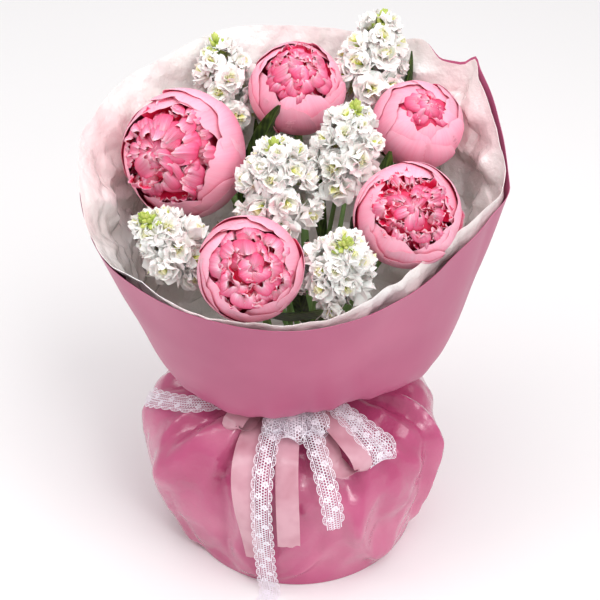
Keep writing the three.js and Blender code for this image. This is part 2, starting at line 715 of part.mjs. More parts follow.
/** A loop: out over the shoulder, round its end and back beneath itself to the knot. */
function loopLine(kind, run) {
  const turn = overSkirt(radians(run.to), run.end - 0.04, run.lift[1] + run.spread / 2);
  const pastEnd = turn.at.clone().sub(overSkirt(radians(run.to), run.end + 0.04, run.lift[1]).at);
  const back = runLine(run, 0, 4).reverse().map(({ at, normal }) => ({ at, normal: normal.negate() }));
  return [inKnot(kind, 1.5, UP), ...runLine(run, run.spread, 4), { at: turn.at, normal: pastEnd },
    ...back, inKnot(kind, -1.5, UP.clone().negate())];
}

/** One ribbon: its band and knot round the neck, fused with its tails and loops. */
function ribbon(kind, tails, loops) {
  const [low, high] = kind.band;
  const knot = new THREE.BoxGeometry(KNOT.depth, KNOT.width, high - low)
    .rotateZ(radians(kind.knot)).translate(...knotCentre(kind).toArray());
  return toGeometry(fuse([
    neckBand(BAND_INNER, BAND_INNER + RIBBON, low, high),
    knot,
    ...tails.map((run) => ribbonStrip(tailLine(kind, run), kind.width, false)),
    ...loops.map((run) => ribbonStrip(loopLine(kind, run), kind.width, true)),
  ]));
}

// ---------------------------------------------------------------- assembly

const finish = (color, roughness, metalness = 0) =>
  new THREE.MeshStandardMaterial({ color, roughness, metalness });
const PETAL_PINK = finish(0xf3a8bf, 0.6);
const FLORET_WHITE = finish(0xf4efe8, 0.65);
const STEM_GREEN = finish(0x5c7f3a, 0.6);
const SKIRT_PINK = finish(0xcf6f98, 0.25);
const COLLAR_PINK = finish(0xc9739a, 0.45);
const LINER_PEARL = finish(0xf1e7e8, 0.25);
const SATIN_PINK = finish(0xe3b9c3, 0.35);
const LACE_WHITE = finish(0xe9dcec, 0.8);
const TWINE = finish(0xb79c6d, 0.85);

const bunch = new THREE.Group();

function place(name, geometry, material, group = bunch) {
  const mesh = new THREE.Mesh(geometry, material);
  mesh.name = name;
  group.add(mesh);
  return mesh;
}

/** Puts a head, modelled about its own axis, at its centre and turns it along an axis. */
function placeHead(name, geometry, material, { centre }, axis, turn = 0) {
  const mesh = place(name, geometry, material);
  mesh.position.set(...centre);
  mesh.quaternion.setFromUnitVectors(UP, axis);
  mesh.rotateZ(radians(turn));
}

const routes = stemRoutes();
PEONIES.forEach((bloom, i) => {
  const key = `peony_${i + 1}`;
  const axis = point(...bloom.face).normalize();
  placeHead(`${key}_bloom`, peonyBloom(bloom, 101 + i), PETAL_PINK, bloom, axis, bloom.turn);
  place(`${key}_stem`, peonyStem(bloom, routes.get(key), PEONY_LEAVES[i]), STEM_GREEN);
});
STOCKS.forEach((stock, i) => {
  const key = `stock_${i + 1}`;
  placeHead(`${key}_florets`, stockFlorets(stock, 201 + i), FLORET_WHITE, stock,
    headAxis(stock.centre));
  place(`${key}_stem`, stockStem(stock, routes.get(key), STOCK_LEAVES[i]), STEM_GREEN);
});
place('stem_tie', neckBand(TIE_INNER, TIE_OUTER, TIE_HEIGHT - TIE_BAND / 2,
  TIE_HEIGHT + TIE_BAND / 2), TWINE);
place('liner_film', linerFilm(), LINER_PEARL);
place('collar_film', wrapSheet(collarRings(COLLAR_NECK), FILM), COLLAR_PINK);
place('skirt_film', skirtFilm(), SKIRT_PINK);
place('satin_ribbon', ribbon(SATIN, SATIN_TAILS, SATIN_LOOPS), SATIN_PINK);
place('lace_ribbon', ribbon(LACE, LACE_TAILS, LACE_LOOPS), LACE_WHITE);

export default bunch;
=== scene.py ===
"""A hand-tied bunch of pink peonies and white stock, wrapped in film and tied with two ribbons.

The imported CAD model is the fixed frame: +Z up, the bunch stands on z = 0 and its front looks along
-Y. Sizes are in millimetres where nothing else is said, and finished meshes are in metres.
"""

from __future__ import annotations

import logging
import math
from collections.abc import Callable, Iterable, Sequence
from dataclasses import dataclass, field, replace
from enum import Enum
from typing import Any

import bpy
import numpy as np
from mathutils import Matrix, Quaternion, Vector

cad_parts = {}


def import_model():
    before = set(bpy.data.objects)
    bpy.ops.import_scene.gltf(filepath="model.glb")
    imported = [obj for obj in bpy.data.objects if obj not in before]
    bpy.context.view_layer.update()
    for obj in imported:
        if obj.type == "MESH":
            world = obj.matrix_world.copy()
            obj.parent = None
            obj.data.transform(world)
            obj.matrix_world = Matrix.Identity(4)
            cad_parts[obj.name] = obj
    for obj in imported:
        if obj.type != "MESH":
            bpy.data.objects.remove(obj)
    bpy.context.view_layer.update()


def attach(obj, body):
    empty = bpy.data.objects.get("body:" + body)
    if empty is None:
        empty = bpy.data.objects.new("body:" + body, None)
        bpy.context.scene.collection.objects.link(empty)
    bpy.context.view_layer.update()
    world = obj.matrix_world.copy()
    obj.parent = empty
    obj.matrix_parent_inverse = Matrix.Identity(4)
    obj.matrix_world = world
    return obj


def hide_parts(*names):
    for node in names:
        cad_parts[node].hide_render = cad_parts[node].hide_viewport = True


LOG = logging.getLogger("bunch")
MM = 0.001
UP = np.array([0.0, 0.0, 1.0])
TIE_HEIGHT = 170.0  # millimetres, where all stems cross
Array = np.ndarray


# ---- colour and nodes


def linear(hex_colour: str) -> tuple[float, float, float, float]:
    """Turns an sRGB hex colour to the linear one that shaders use.

    Args:
        hex_colour: Six hex digits.

    Returns:
        Linear red, green, blue and an alpha of 1.
    """
    parts = [int(hex_colour[i : i + 2], 16) / 255 for i in (0, 2, 4)]
    red, green, blue = (c / 12.92 if c <= 0.04045 else ((c + 0.055) / 1.055) ** 2.4 for c in parts)
    return red, green, blue, 1.0


def add_node(
    tree: bpy.types.NodeTree,
    kind: str,
    settings: dict[str | int, Any] | None = None,
    links: dict[str | int, bpy.types.NodeSocket] | None = None,
) -> bpy.types.Node:
    """Adds one node to a material.

    Args:
        tree: The material's node tree.
        kind: The node's type name, without ShaderNode before it.
        settings: Values for its properties, or for its input sockets. The stops of a colour
            ramp are pairs of a position and a hex colour, in order.
        links: Output sockets of other nodes, by the name or number of the input they feed.

    Returns:
        The new node.
    """
    node = tree.nodes.new(f"ShaderNode{kind}")
    for name, value in (settings or {}).items():
        if name == "stops":
            elements = node.color_ramp.elements
            while len(elements) < len(value):
                elements.new(1.0)
            for element, (position, colour) in zip(elements, value):
                element.position = position
                element.color = linear(colour)
        elif isinstance(name, str) and hasattr(node, name):
            setattr(node, name, value)
        else:
            node.inputs[name].default_value = value
    for name, socket in (links or {}).items():
        tree.links.new(socket, node.inputs[name])
    return node


def new_material(
    name: str, surface: dict[str, Any]
) -> tuple[bpy.types.Material, bpy.types.NodeTree, bpy.types.Node]:
    """Makes a node material with a Principled shader.

    Args:
        name: The material's name.
        surface: What is the same all over the surface, by the shader's own sockets.

    Returns:
        The material, its node tree and its shader.
    """
    material = bpy.data.materials.new(name)
    material.use_nodes = True
    tree = material.node_tree
    tree.nodes.clear()
    shader = add_node(tree, "BsdfPrincipled", surface)
    add_node(tree, "OutputMaterial", links={"Surface": shader.outputs["BSDF"]})
    return material, tree, shader


# ---- finishes


@dataclass(frozen=True)
class PetalFinish:
    """Living petal: soft, a little translucent, with fine veins from root to lip."""

    name: str
    outside: tuple[tuple[float, str], ...]  # colours from root to lip, on the face turned out
    inside: tuple[tuple[float, str], ...] = ()  # on the face turned to the heart, if they differ
    vein_depth: float = 0.12  # millimetres
    roughness: float = 0.5
    translucency: float = 0.18
    veins_across: float = 46.0  # veins across one petal: real ones are twice as fine
    vein_shift: float = 0.34  # how far a vein pulls the colours along the petal
    tone_change: float = 0.22  # lightness from the darkest petal to the lightest
    scatter: tuple[float, float, float] = (1.0, 0.45, 0.5)  # red light goes furthest in a petal
    scatter_depth: float = 3.0  # millimetres

    def make(self) -> bpy.types.Material:
        """Builds the material.

        Returns:
            The new material.
        """
        material, tree, shader = new_material(
            self.name,
            {
                "Roughness": self.roughness,
                "Specular IOR Level": 0.2,
                "Subsurface Weight": self.translucency,
                "Subsurface Radius": self.scatter,
                "Subsurface Scale": self.scatter_depth * MM,
            },
        )
        place = add_node(tree, "UVMap", {"uv_map": "petal"}).outputs["UV"]
        along = add_node(tree, "SeparateXYZ", links={0: place}).outputs["Y"]
        tone = add_node(tree, "Attribute", {"attribute_name": "tone"}).outputs["Fac"]
        turned_in = add_node(tree, "Attribute", {"attribute_name": "inside"}).outputs["Fac"]
        stretched = add_node(tree, "Mapping", {"Scale": (self.veins_across, 1.6, 1.0)}, {"Vector": place})
        veins = add_node(
            tree,
            "TexNoise",
            {"Scale": 1.0, "Detail": 3.0, "Roughness": 0.6},
            {"Vector": stretched.outputs["Vector"]},
        ).outputs["Fac"]
        wander = add_node(
            tree,
            "Math",
            {"operation": "MULTIPLY_ADD", 1: self.vein_shift, 2: -self.vein_shift / 2},
            {0: veins},
        ).outputs[0]
        shifted = add_node(tree, "Math", {"operation": "ADD"}, {0: along, 1: wander}).outputs[0]
        outside, inside = (
            add_node(tree, "ValToRGB", {"stops": stops}, {"Fac": shifted}).outputs["Color"]
            for stops in (self.outside, self.inside or self.outside)
        )
        both = add_node(
            tree, "Mix", {"data_type": "RGBA"}, {"Factor": turned_in, 6: outside, 7: inside}
        ).outputs[2]
        lightness = add_node(
            tree,
            "Math",
            {"operation": "MULTIPLY_ADD", 1: self.tone_change, 2: 1.0 - self.tone_change / 2},
            {0: tone},
        ).outputs[0]
        toned = add_node(tree, "HueSaturation", links={"Color": both, "Value": lightness}).outputs["Color"]
        bump = add_node(
            tree, "Bump", {"Strength": 0.5, "Distance": self.vein_depth * MM}, {"Height": veins}
        ).outputs["Normal"]
        tree.links.new(toned, shader.inputs["Base Color"])
        tree.links.new(bump, shader.inputs["Normal"])
        return material


@dataclass(frozen=True)
class FilmFinish:
    """Cast plastic film, a few hundredths of a millimetre thick, with the fine wrinkles of use."""

    name: str
    colours: tuple[tuple[float, str], ...]  # over the broad clouds in the film's tone
    roughness: float
    coat: float
    wrinkle: float  # depth of the fine wrinkles in millimetres
    wrinkle_size: float  # distance between them in millimetres
    translucency: float = 0.0
    cloud_size: float = 90.0  # millimetres
    scatter: tuple[float, float, float] = (1.0, 0.7, 0.75)
    scatter_depth: float = 6.0  # millimetres

    def make(self) -> bpy.types.Material:
        """Builds the material.

        Returns:
            The new material.
        """
        material, tree, shader = new_material(
            self.name,
            {
                "Roughness": self.roughness,
                "Coat Weight": self.coat,
                "Coat Roughness": 0.2,
                "Subsurface Weight": self.translucency,
                "Subsurface Radius": self.scatter,
                "Subsurface Scale": self.scatter_depth * MM,
            },
        )
        place = add_node(tree, "TexCoord").outputs["Object"]
        clouds = add_node(
            tree, "TexNoise", {"Scale": 1.0 / (self.cloud_size * MM), "Detail": 2.0}, {"Vector": place}
        ).outputs["Fac"]
        wrinkles = add_node(
            tree,
            "TexVoronoi",
            {"feature": "DISTANCE_TO_EDGE", "Scale": 1.0 / (self.wrinkle_size * MM)},
            {"Vector": place},
        ).outputs["Distance"]
        warp = add_node(
            tree,
            "TexNoise",
            {"Scale": 2.2 / (self.wrinkle_size * MM), "Detail": 4.0, "Roughness": 0.55},
            {"Vector": place},
        ).outputs["Fac"]
        height = add_node(
            tree, "Math", {"operation": "MULTIPLY_ADD", 1: 0.6}, {0: wrinkles, 2: warp}
        ).outputs[0]
        bump = add_node(
            tree, "Bump", {"Strength": 0.6, "Distance": self.wrinkle * MM}, {"Height": height}
        ).outputs["Normal"]
        colour = add_node(tree, "ValToRGB", {"stops": self.colours}, {"Fac": clouds})
        tree.links.new(colour.outputs["Color"], shader.inputs["Base Color"])
        tree.links.new(bump, shader.inputs["Normal"])
        return material


@dataclass(frozen=True)
class GreenFinish:
    """Waxy green tissue: stems, buds and the leaf blade with its paler ribs."""

    name: str
    dark: str
    light: str
    roughness: float
    ribs: float = 0.0  # side ribs along one leaf, none on a stem
    mottle: float = 9.0  # millimetres from one patch of green to the next
    relief: float = 0.3  # depth of ribs and mottle in millimetres

    def make(self) -> bpy.types.Material:
        """Builds the material.

        Returns:
            The new material.
        """
        material, tree, shader = new_material(self.name, {"Roughness": self.roughness})
        place = add_node(tree, "TexCoord").outputs["Object"]
        mottle = add_node(
            tree, "TexNoise", {"Scale": 1 / (self.mottle * MM), "Detail": 3.0}, {"Vector": place}
        ).outputs["Fac"]
        height = mottle
        if self.ribs:
            spot = add_node(tree, "UVMap", {"uv_map": "petal"}).outputs["UV"]
            axes = add_node(tree, "SeparateXYZ", links={0: spot}).outputs
            centred = add_node(tree, "Math", {"operation": "SUBTRACT", 1: 0.5}, {0: axes["X"]}).outputs[0]
            off_rib = add_node(tree, "Math", {"operation": "ABSOLUTE"}, {0: centred}).outputs[0]
            slant = add_node(
                tree, "Math", {"operation": "MULTIPLY_ADD", 1: -0.5}, {0: off_rib, 2: axes["Y"]}
            ).outputs[0]
            comb = add_node(
                tree, "Math", {"operation": "MULTIPLY", 1: 2 * math.pi * self.ribs}, {0: slant}
            ).outputs[0]
            wave = add_node(tree, "Math", {"operation": "COSINE"}, {0: comb}).outputs[0]
            side_ribs = add_node(
                tree, "Math", {"operation": "MULTIPLY_ADD", 1: 0.12}, {0: wave, 2: mottle}
            ).outputs[0]
            midrib = add_node(
                tree,
                "MapRange",
                {"From Min": 0.0, "From Max": 0.05, "To Min": 0.7, "To Max": 0.0},
                {"Value": off_rib},
            ).outputs[0]
            height = add_node(tree, "Math", {"operation": "ADD"}, {0: side_ribs, 1: midrib}).outputs[0]
        stops = ((0.3, self.dark), (0.9, self.light))
        colour = add_node(tree, "ValToRGB", {"stops": stops}, {"Fac": height})
        bump = add_node(
            tree, "Bump", {"Strength": 0.5, "Distance": self.relief * MM}, {"Height": height}
        ).outputs["Normal"]
        tree.links.new(colour.outputs["Color"], shader.inputs["Base Color"])
        tree.links.new(bump, shader.inputs["Normal"])
        return material


@dataclass(frozen=True)
class WovenFinish:
    """Woven or knitted thread: satin floats shine along the cloth, lace and twine stay dull."""

    name: str
    colours: tuple[tuple[float, str], ...]
    roughness: float
    sheen: float
    thread: float  # thread spacing in millimetres, coarser than the real 0.15 so that it shows
    gloss_along: float = 0.0  # anisotropy of the floats
    cloud_size: float = 24.0  # millimetres
    relief: float = 0.05  # depth of the weave in millimetres

    def make(self) -> bpy.types.Material:
        """Builds the material.

        Returns:
            The new material.
        """
        material, tree, shader = new_material(
            self.name,
            {
                "Roughness": self.roughness,
                "Sheen Weight": self.sheen,
                "Sheen Roughness": 0.3,
                "Anisotropic": self.gloss_along,
            },
        )
        place = add_node(tree, "TexCoord").outputs["Object"]
        weave = add_node(
            tree, "TexNoise", {"Scale": 1 / (self.thread * MM), "Detail": 1.0}, {"Vector": place}
        ).outputs["Fac"]
        clouds = add_node(
            tree, "TexNoise", {"Scale": 1 / (self.cloud_size * MM), "Detail": 2.0}, {"Vector": place}
        ).outputs["Fac"]
        colour = add_node(tree, "ValToRGB", {"stops": self.colours}, {"Fac": clouds})
        bump = add_node(
            tree, "Bump", {"Strength": 0.25, "Distance": self.relief * MM}, {"Height": weave}
        ).outputs["Normal"]
        tree.links.new(colour.outputs["Color"], shader.inputs["Base Color"])
        tree.links.new(bump, shader.inputs["Normal"])
        return material


class Finish(Enum):
    """The finishes of the bunch. Each is built once, when it is first asked for."""

    # Living petal of the outer layers: soft and dull, deeper at its root and paler at its lip.
    GUARD_PETAL = PetalFinish(
        "peony petal",
        ((0.0, "ea5578"), (0.3, "f67b9a"), (0.75, "f997b1"), (1.0, "fab0c4")),
        ((0.0, "ee2a62"), (0.5, "ee4878"), (0.84, "f1658e"), (0.96, "f484a6"), (1.0, "fdb8ca")),
        translucency=0.22,
    )
    # The same petal, younger and thinner: light passes through it, so the heart glows deep pink.
    HEART_PETAL = PetalFinish(
        "peony heart petal",
        ((0.0, "f01048"), (0.4, "f03264"), (0.62, "f25c84"), (0.82, "f78ea9"), (1.0, "ffcbd8")),
        ((0.0, "f01048"), (0.6, "f02a5c"), (0.8, "f35a84"), (0.92, "f888a6"), (1.0, "ffb9cb")),
        translucency=0.48, tone_change=0.26,
    )
    # White petal: light passes through its lip, and its root is green-yellow.
    STOCK_PETAL = PetalFinish(
        "stock petal",
        ((0.0, "c9cf74"), (0.14, "ece9c4"), (0.3, "fbf6f1"), (1.0, "fffcf9")),
        roughness=0.55, translucency=0.25, tone_change=0.06, veins_across=14.0,
    )
    STOCK_HEART = PetalFinish(
        "stock heart petal",
        ((0.0, "8ea22f"), (0.5, "cdd64f"), (0.8, "e6e690"), (1.0, "f8f5d8")),
        translucency=0.1, tone_change=0.1, veins_across=8.0,
    )
    # Polypropylene film, cast glossy and crushed by hand: broad highlights along its folds.
    SKIRT_FILM = FilmFinish(
        "skirt film",
        ((0.3, "ad3c6a"), (0.5, "bc507c"), (0.7, "ce6e91")),
        roughness=0.27, coat=0.7, wrinkle=1.6, wrinkle_size=22.0,
    )
    # Polypropylene film, embossed to a half-matte face: one soft sheen over the whole cone.
    COLLAR_FILM = FilmFinish(
        "collar film",
        ((0.3, "ae4f75"), (0.5, "b35479"), (0.7, "ba5d80")),
        roughness=0.42, coat=0.12, wrinkle=0.12, wrinkle_size=30.0,
    )
    # Pearl film, crushed by hand: small bright faces, and a little light passes through. Its pink patches are
    # painted light: they stand in for the collar's pink light showing through it.
    LINER_FILM = FilmFinish(
        "liner film",
        ((0.32, "f3dfde"), (0.5, "f9efec"), (0.66, "fdf9f7")),
        roughness=0.2, coat=0.7, wrinkle=2.6, wrinkle_size=17.0, translucency=0.3,
    )
    # Polyester satin, woven: its long floats shine along the ribbon.
    SATIN = WovenFinish(
        "satin ribbon",
        ((0.3, "c58c9a"), (0.6, "d6a4b1")),
        roughness=0.2, sheen=0.1, thread=0.5, gloss_along=0.7,
    )
    # Cotton lace and jute twine: dull thread with no highlight.
    LACE = WovenFinish("lace", ((0.3, "e4cade"), (0.6, "efddea")), roughness=0.8, sheen=0.2, thread=0.4)
    TWINE = WovenFinish("jute twine", ((0.3, "8f7546"), (0.7, "b89a66")), 0.85, 0.3, 1.2)
    # Waxy green skin, shiniest on the leaf blade.
    LEAF = GreenFinish("peony leaf", "1f3312", "5d7a35", 0.34, ribs=9.0)
    STEM = GreenFinish("stem", "4d6d2c", "7a9748", 0.45)
    BUD = GreenFinish("stock bud", "8fa832", "e3e58c", 0.5)

    def material(self) -> bpy.types.Material:
        """Returns the material, made the first time it is asked for."""
        return bpy.data.materials.get(self.value.name) or self.value.make()


# ---- shaping


def deselect() -> None:
    """Leaves object mode with nothing selected."""
    if bpy.context.mode != "OBJECT":
        bpy.ops.object.mode_set(mode="OBJECT")
    bpy.ops.object.select_all(action="DESELECT")


def unit(vectors: Array) -> Array:
    """Returns vectors at length 1."""
    return vectors / np.maximum(np.linalg.norm(vectors, axis=-1, keepdims=True), 1e-12)


def blend_values(low: float | Array, high: float | Array, share: float | Array) -> Any:
    """Returns the value that lies this share of the way from low to high."""
    return low + (high - low) * share


def smooth(share: Array) -> Array:
    """Returns the share eased at both ends."""
    share = np.clip(share, 0, 1)
    return share * share * (3 - 2 * share)


def ridge(angle: Array) -> Array:
    """Returns a sharp-edged wave from -1 to 1."""
    return 2 / math.pi * np.arcsin(np.sin(angle))


def round_steps(count: int) -> Array:
    """Returns equal steps round a circle, in radians."""
    return 2 * math.pi * np.arange(count) / count


def polar(azimuth: float | Array, radius: float | Array, height: float | Array = 0.0) -> Array:
    """Returns the points at azimuths in radians, radii and heights."""
    east = radius * np.cos(azimuth)
    return np.stack([east, radius * np.sin(azimuth), height + 0 * east], axis=-1)


def square_to(axis: Array) -> tuple[Array, Array]:
    """Returns the level direction that is square to an axis, and the one that is square to both."""
    side = unit(np.cross(axis, UP))
    return side, np.cross(side, axis)


def circle(side: Array, front: Array, angle: float | Array) -> Array:
    """Returns directions at angles in radians from one direction towards another."""
    return side * np.cos(angle)[..., None] + front * np.sin(angle)[..., None]


def travelled(line: Array) -> Array:
    """Returns the distance along a line to each of its points."""
    return np.concatenate([[0], np.cumsum(np.linalg.norm(np.diff(line, axis=0), axis=1))])


def tube_faces(rings: int, sides: int) -> tuple[Array, Array, Array]:
    """Numbers the points of rings that lie one on the other, and joins them.

    Args:
        rings: How many rings there are.
        sides: How many points each has.

    Returns:
        The number of each point, the number of the next one round, and the faces between the rings.
    """
    number = np.arange(rings * sides).reshape(rings, sides)
    onward = np.roll(number, -1, axis=1)
    walls = np.stack([number[:-1], onward[:-1], onward[1:], number[1:]], -1).reshape(-1, 4)
    return number, onward, walls


def creases(places: Array, spacing: float, seed: int, count: int = 9) -> Array:
    """Sharp-edged folds that run in random directions and fade in and out.

    Args:
        places: Points, in millimetres.
        spacing: Typical distance between folds, in millimetres.
        seed: Chooses the folds.
        count: How many directions they run in.

    Returns:
        A height from about -1 to 1 for each point.
    """
    random = np.random.default_rng(seed)
    total = np.zeros(places.shape[:-1])
    for _ in range(count):
        across, along = unit(random.normal(size=(2, places.shape[-1])))
        wavelength = spacing * random.uniform(0.6, 1.9)
        phase, fade_phase = random.uniform(0, 2 * math.pi, 2)
        fold = ridge(2 * math.pi * (places @ across) / wavelength + phase)
        fade = 0.5 + 0.5 * np.sin(2 * math.pi * (places @ along) / (2.7 * wavelength) + fade_phase)
        total += fold * fade
    return total * 1.6 / math.sqrt(count)


def crumple(places: Array, cells: int, seed: int, stretch: Sequence[float] = (1.0, 1.0, 1.0)) -> Array:
    """Crossing ridges and valleys with smooth faces between them, as in crushed film.

    Args:
        places: Points on the film, in millimetres.
        cells: How many faces it has.
        seed: Chooses the faces.
        stretch: Scale of each axis: below 1 makes the faces longer that way.

    Returns:
        A height of about -2 to 2 for each point.
    """
    random = np.random.default_rng(seed)
    points = places.reshape(-1, 3) * stretch
    height = np.zeros(len(points))
    for sign in (-1, 1):
        nearest = np.full(len(points), np.inf)
        for middle in points[random.choice(len(points), cells, replace=False)]:
            nearest = np.minimum(nearest, np.sum((points - middle) ** 2, axis=1))
        height += sign * nearest
    return (height / height.std()).reshape(places.shape[:-1])


def through(stops: Array, at: Array) -> Array:
    """Points on a smooth curve through the stops.

    Args:
        stops: Rows of coordinates, or rows of rows where many curves run side by side.
        at: Where to read each curve: 0 is its first stop, 1 its second, and so on.

    Returns:
        A point for each place.
    """
    stops = np.asarray(stops, float)
    ends = np.concatenate([2 * stops[:1] - stops[1:2], stops, 2 * stops[-1:] - stops[-2:-1]])
    i = np.minimum(at.astype(int), len(stops) - 2)
    t = (at - i)[..., None]
    if stops.ndim > 2:
        column = np.broadcast_to(np.arange(stops.shape[1]), at.shape)
        p0, p1, p2, p3 = (ends[i + k, column] for k in range(4))
    else:
        p0, p1, p2, p3 = (ends[i + k] for k in range(4))
    return 0.5 * (
        2 * p1 + (p2 - p0) * t + (2 * p0 - 5 * p1 + 4 * p2 - p3) * t**2 + (3 * p1 - p0 - 3 * p2 + p3) * t**3
    )


def round_table(table: Sequence[Sequence[float]], azimuth: Array, column: int = 1) -> Array:
    """Reads a table of [azimuth in degrees, value, ...] rows that runs smoothly round the bunch.

    Args:
        table: The rows, in any order.
        azimuth: Where to read it, in radians.
        column: Which value to read.

    Returns:
        One value for each azimuth.
    """
    rows = sorted(table, key=lambda row: row[0])
    angles = np.array([row[0] for row in rows])
    values = np.array([row[column] for row in rows], float)
    angles = np.concatenate([angles[-2:] - 360, angles, angles[:2] + 360])
    values = np.concatenate([values[-2:], values, values[:2]])
    at = (np.degrees(azimuth) - angles[1]) % 360 + angles[1]
    i = np.clip(np.searchsorted(angles, at, side="right") - 1, 1, len(angles) - 3)
    t = (at - angles[i]) / (angles[i + 1] - angles[i])
    rise = np.diff(values) / np.diff(angles)
    same_way = rise[1:] * rise[:-1] > 0  # a slope of 0 at each peak keeps the curve between its rows
    slope = np.where(same_way, 2 * rise[1:] * rise[:-1] / (rise[1:] + rise[:-1] + 1e-12), 0.0)
    step = angles[i + 1] - angles[i]
    start, end = slope[i - 1] * step, slope[i] * step
    return (
        (2 * t**3 - 3 * t**2 + 1) * values[i]
        + (t**3 - 2 * t**2 + t) * start
        + (3 * t**2 - 2 * t**3) * values[i + 1]
        + (t**3 - t**2) * end
    )


@dataclass(frozen=True)
class Mould:
    """A flat grid that petals, leaves and ribbons are pressed from: u across, v along."""

    u: Array
    v: Array
    faces: Array
    rim: Array

    @classmethod
    def cut(cls, across: int, along: int) -> Mould:
        """Adds a grid, reads its corners and takes it away again.

        Args:
            across: Faces across.
            along: Faces along.

        Returns:
            The mould.
        """
        deselect()
        bpy.ops.mesh.primitive_grid_add(x_subdivisions=across, y_subdivisions=along, size=2)
        grid = bpy.context.object
        corners = np.array([vertex.co[:2] for vertex in grid.data.vertices])
        faces = np.array([face.vertices[:] for face in grid.data.polygons])
        bpy.ops.object.delete()
        row = across + 1
        rim = np.concatenate(
            [
                np.arange(across),
                np.arange(along) * row + across,
                along * row + across - np.arange(across),
                (along - np.arange(along)) * row,
            ]
        )
        return cls(corners[:, 0], (corners[:, 1] + 1) / 2, faces, rim)

    def normals(self, points: Array) -> Array:
        """Finds the normals of a shaped copy.

        Args:
            points: Where the mould's corners go.

        Returns:
            A normal for each point.
        """
        a, b, c, d = (points[self.faces[:, k]] for k in range(4))
        square = np.cross(c - a, d - b)
        total = np.zeros_like(points)
        for k in range(4):
            np.add.at(total, self.faces[:, k], square)
        return unit(total)


@dataclass
class Sheaf:
    """Collects shaped sheets, each closed and thin, and joins them in one mesh."""

    rim_share: float = 0.35  # thickness of a sheet's rim, as a share of the sheet's own
    _points: list[Array] = field(default_factory=list)
    _faces: list[Array] = field(default_factory=list)
    _triangles: list[Array] = field(default_factory=list)
    _uv: list[Array] = field(default_factory=list)
    _tone: list[Array] = field(default_factory=list)
    _inside: list[Array] = field(default_factory=list)
    _count: int = 0

    def add(self, mould: Mould, points: Array, thickness: float, tone: float = 0.5) -> None:
        """Adds one shaped copy of a mould.

        Args:
            mould: The mould that it was pressed from.
            points: Where the mould's corners go, in millimetres.
            thickness: In millimetres, within its rim.
            tone: Lightness of this copy, from 0 to 1.
        """
        size = len(points)
        taper = np.ones((size, 1))
        taper[mould.rim] = self.rim_share
        offset = mould.normals(points) * taper * thickness / 2
        onward = np.roll(mould.rim, -1)
        walls = np.stack([mould.rim, mould.rim + size, onward + size, onward], axis=1)
        faces = np.concatenate([mould.faces, mould.faces[:, ::-1] + size, walls])
        self._take(
            np.concatenate([points + offset, points - offset]),
            faces,
            np.tile(np.stack([(mould.u + 1) / 2, mould.v], axis=1), (2, 1)),
            tone,
            np.repeat([0.0, 1.0], size),
        )

    def add_rings(self, rings: Array, tone: float = 0.5) -> None:
        """Adds a solid through rings of points, closed at both ends.

        Args:
            rings: Rows of points, each running round the solid, in millimetres.
            tone: Lightness, from 0 to 1.
        """
        count, sides = rings.shape[:2]
        number, onward, walls = tube_faces(count, sides)
        middle = count * sides  # number of the point in the middle of the first ring
        bottom = np.stack([onward[0], number[0], np.full(sides, middle)], -1)
        top = np.stack([number[-1], onward[-1], np.full(sides, middle + 1)], -1)
        points = np.concatenate([rings.reshape(-1, 3), rings[[0, -1]].mean(axis=1)])
        self._triangles.append(np.concatenate([bottom, top]) + self._count)
        self._take(points, walls, np.full((len(points), 2), 0.5), tone, np.zeros(len(points)))

    def _take(self, points: Array, faces: Array, uv: Array, tone: float, inside: Array) -> None:
        """Stores one more shape.

        Args:
            points: Its points, in millimetres.
            faces: Its four-sided faces, by its own numbers.
            uv: Across and along a petal, for each point.
            tone: Its lightness.
            inside: 1 for each point on the face that is turned to the heart, or else 0.
        """
        self._points.append(points)
        self._faces.append(faces + self._count)
        self._uv.append(uv)
        self._tone.append(np.full(len(points), tone))
        self._inside.append(inside)
        self._count += len(points)

    @property
    def filled(self) -> bool:
        """Whether anything is in it."""
        return self._count > 0

    def build(self, name: str, finish: Finish) -> bpy.types.Object:
        """Makes the piece.

        Args:
            name: Its name.
            finish: What it is made of.

        Returns:
            The new object, at the origin, with its place in its mesh.
        """
        faces = np.concatenate(self._faces)
        corners = np.concatenate([faces.ravel(), *(part.ravel() for part in self._triangles)])
        triangles = [row for part in self._triangles for row in part.tolist()]
        mesh = bpy.data.meshes.new(name)
        mesh.from_pydata((np.concatenate(self._points) * MM).tolist(), [], faces.tolist() + triangles)
        uv = np.concatenate(self._uv)[corners]
        mesh.uv_layers.new(name="petal").data.foreach_set("uv", uv.astype(np.float32).ravel())
        for label, parts in (("tone", self._tone), ("inside", self._inside)):
            values = np.concatenate(parts).astype(np.float32)
            mesh.attributes.new(label, "FLOAT", "POINT").data.foreach_set("value", values)
        return finish_mesh(mesh, name, finish, 70)


def finish_mesh(mesh: bpy.types.Mesh, name: str, finish: Finish, sharp: float) -> bpy.types.Object:
    """Puts a mesh in the scene, shades it smooth and dresses it.

    Args:
        mesh: The mesh, in metres in the bunch's frame.
        name: The piece's name.
        finish: What it is made of.
        sharp: Edges sharper than this many degrees stay sharp.

    Returns:
        The new object, at the origin.
    """
    mesh.update()
    piece = bpy.data.objects.new(name, mesh)
    bpy.context.scene.collection.objects.link(piece)
    deselect()
    bpy.context.view_layer.objects.active = piece
    piece.select_set(True)
    bpy.ops.object.shade_smooth_by_angle(angle=math.radians(sharp))
    piece.data.materials.append(finish.material())
    return piece


def settle(piece: bpy.types.Object, slot: str, *nodes: str) -> bpy.types.Object:
    """Fixes a finished piece to the frame.

    Args:
        piece: The piece.
        slot: Not used.
        nodes: CAD nodes that it stands for.

    Returns:
        The same piece.
    """
    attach(piece, "root")
    if nodes:
        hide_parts(*nodes)
    LOG.info("%s: %d faces", piece.name, len(piece.data.polygons))
    return piece


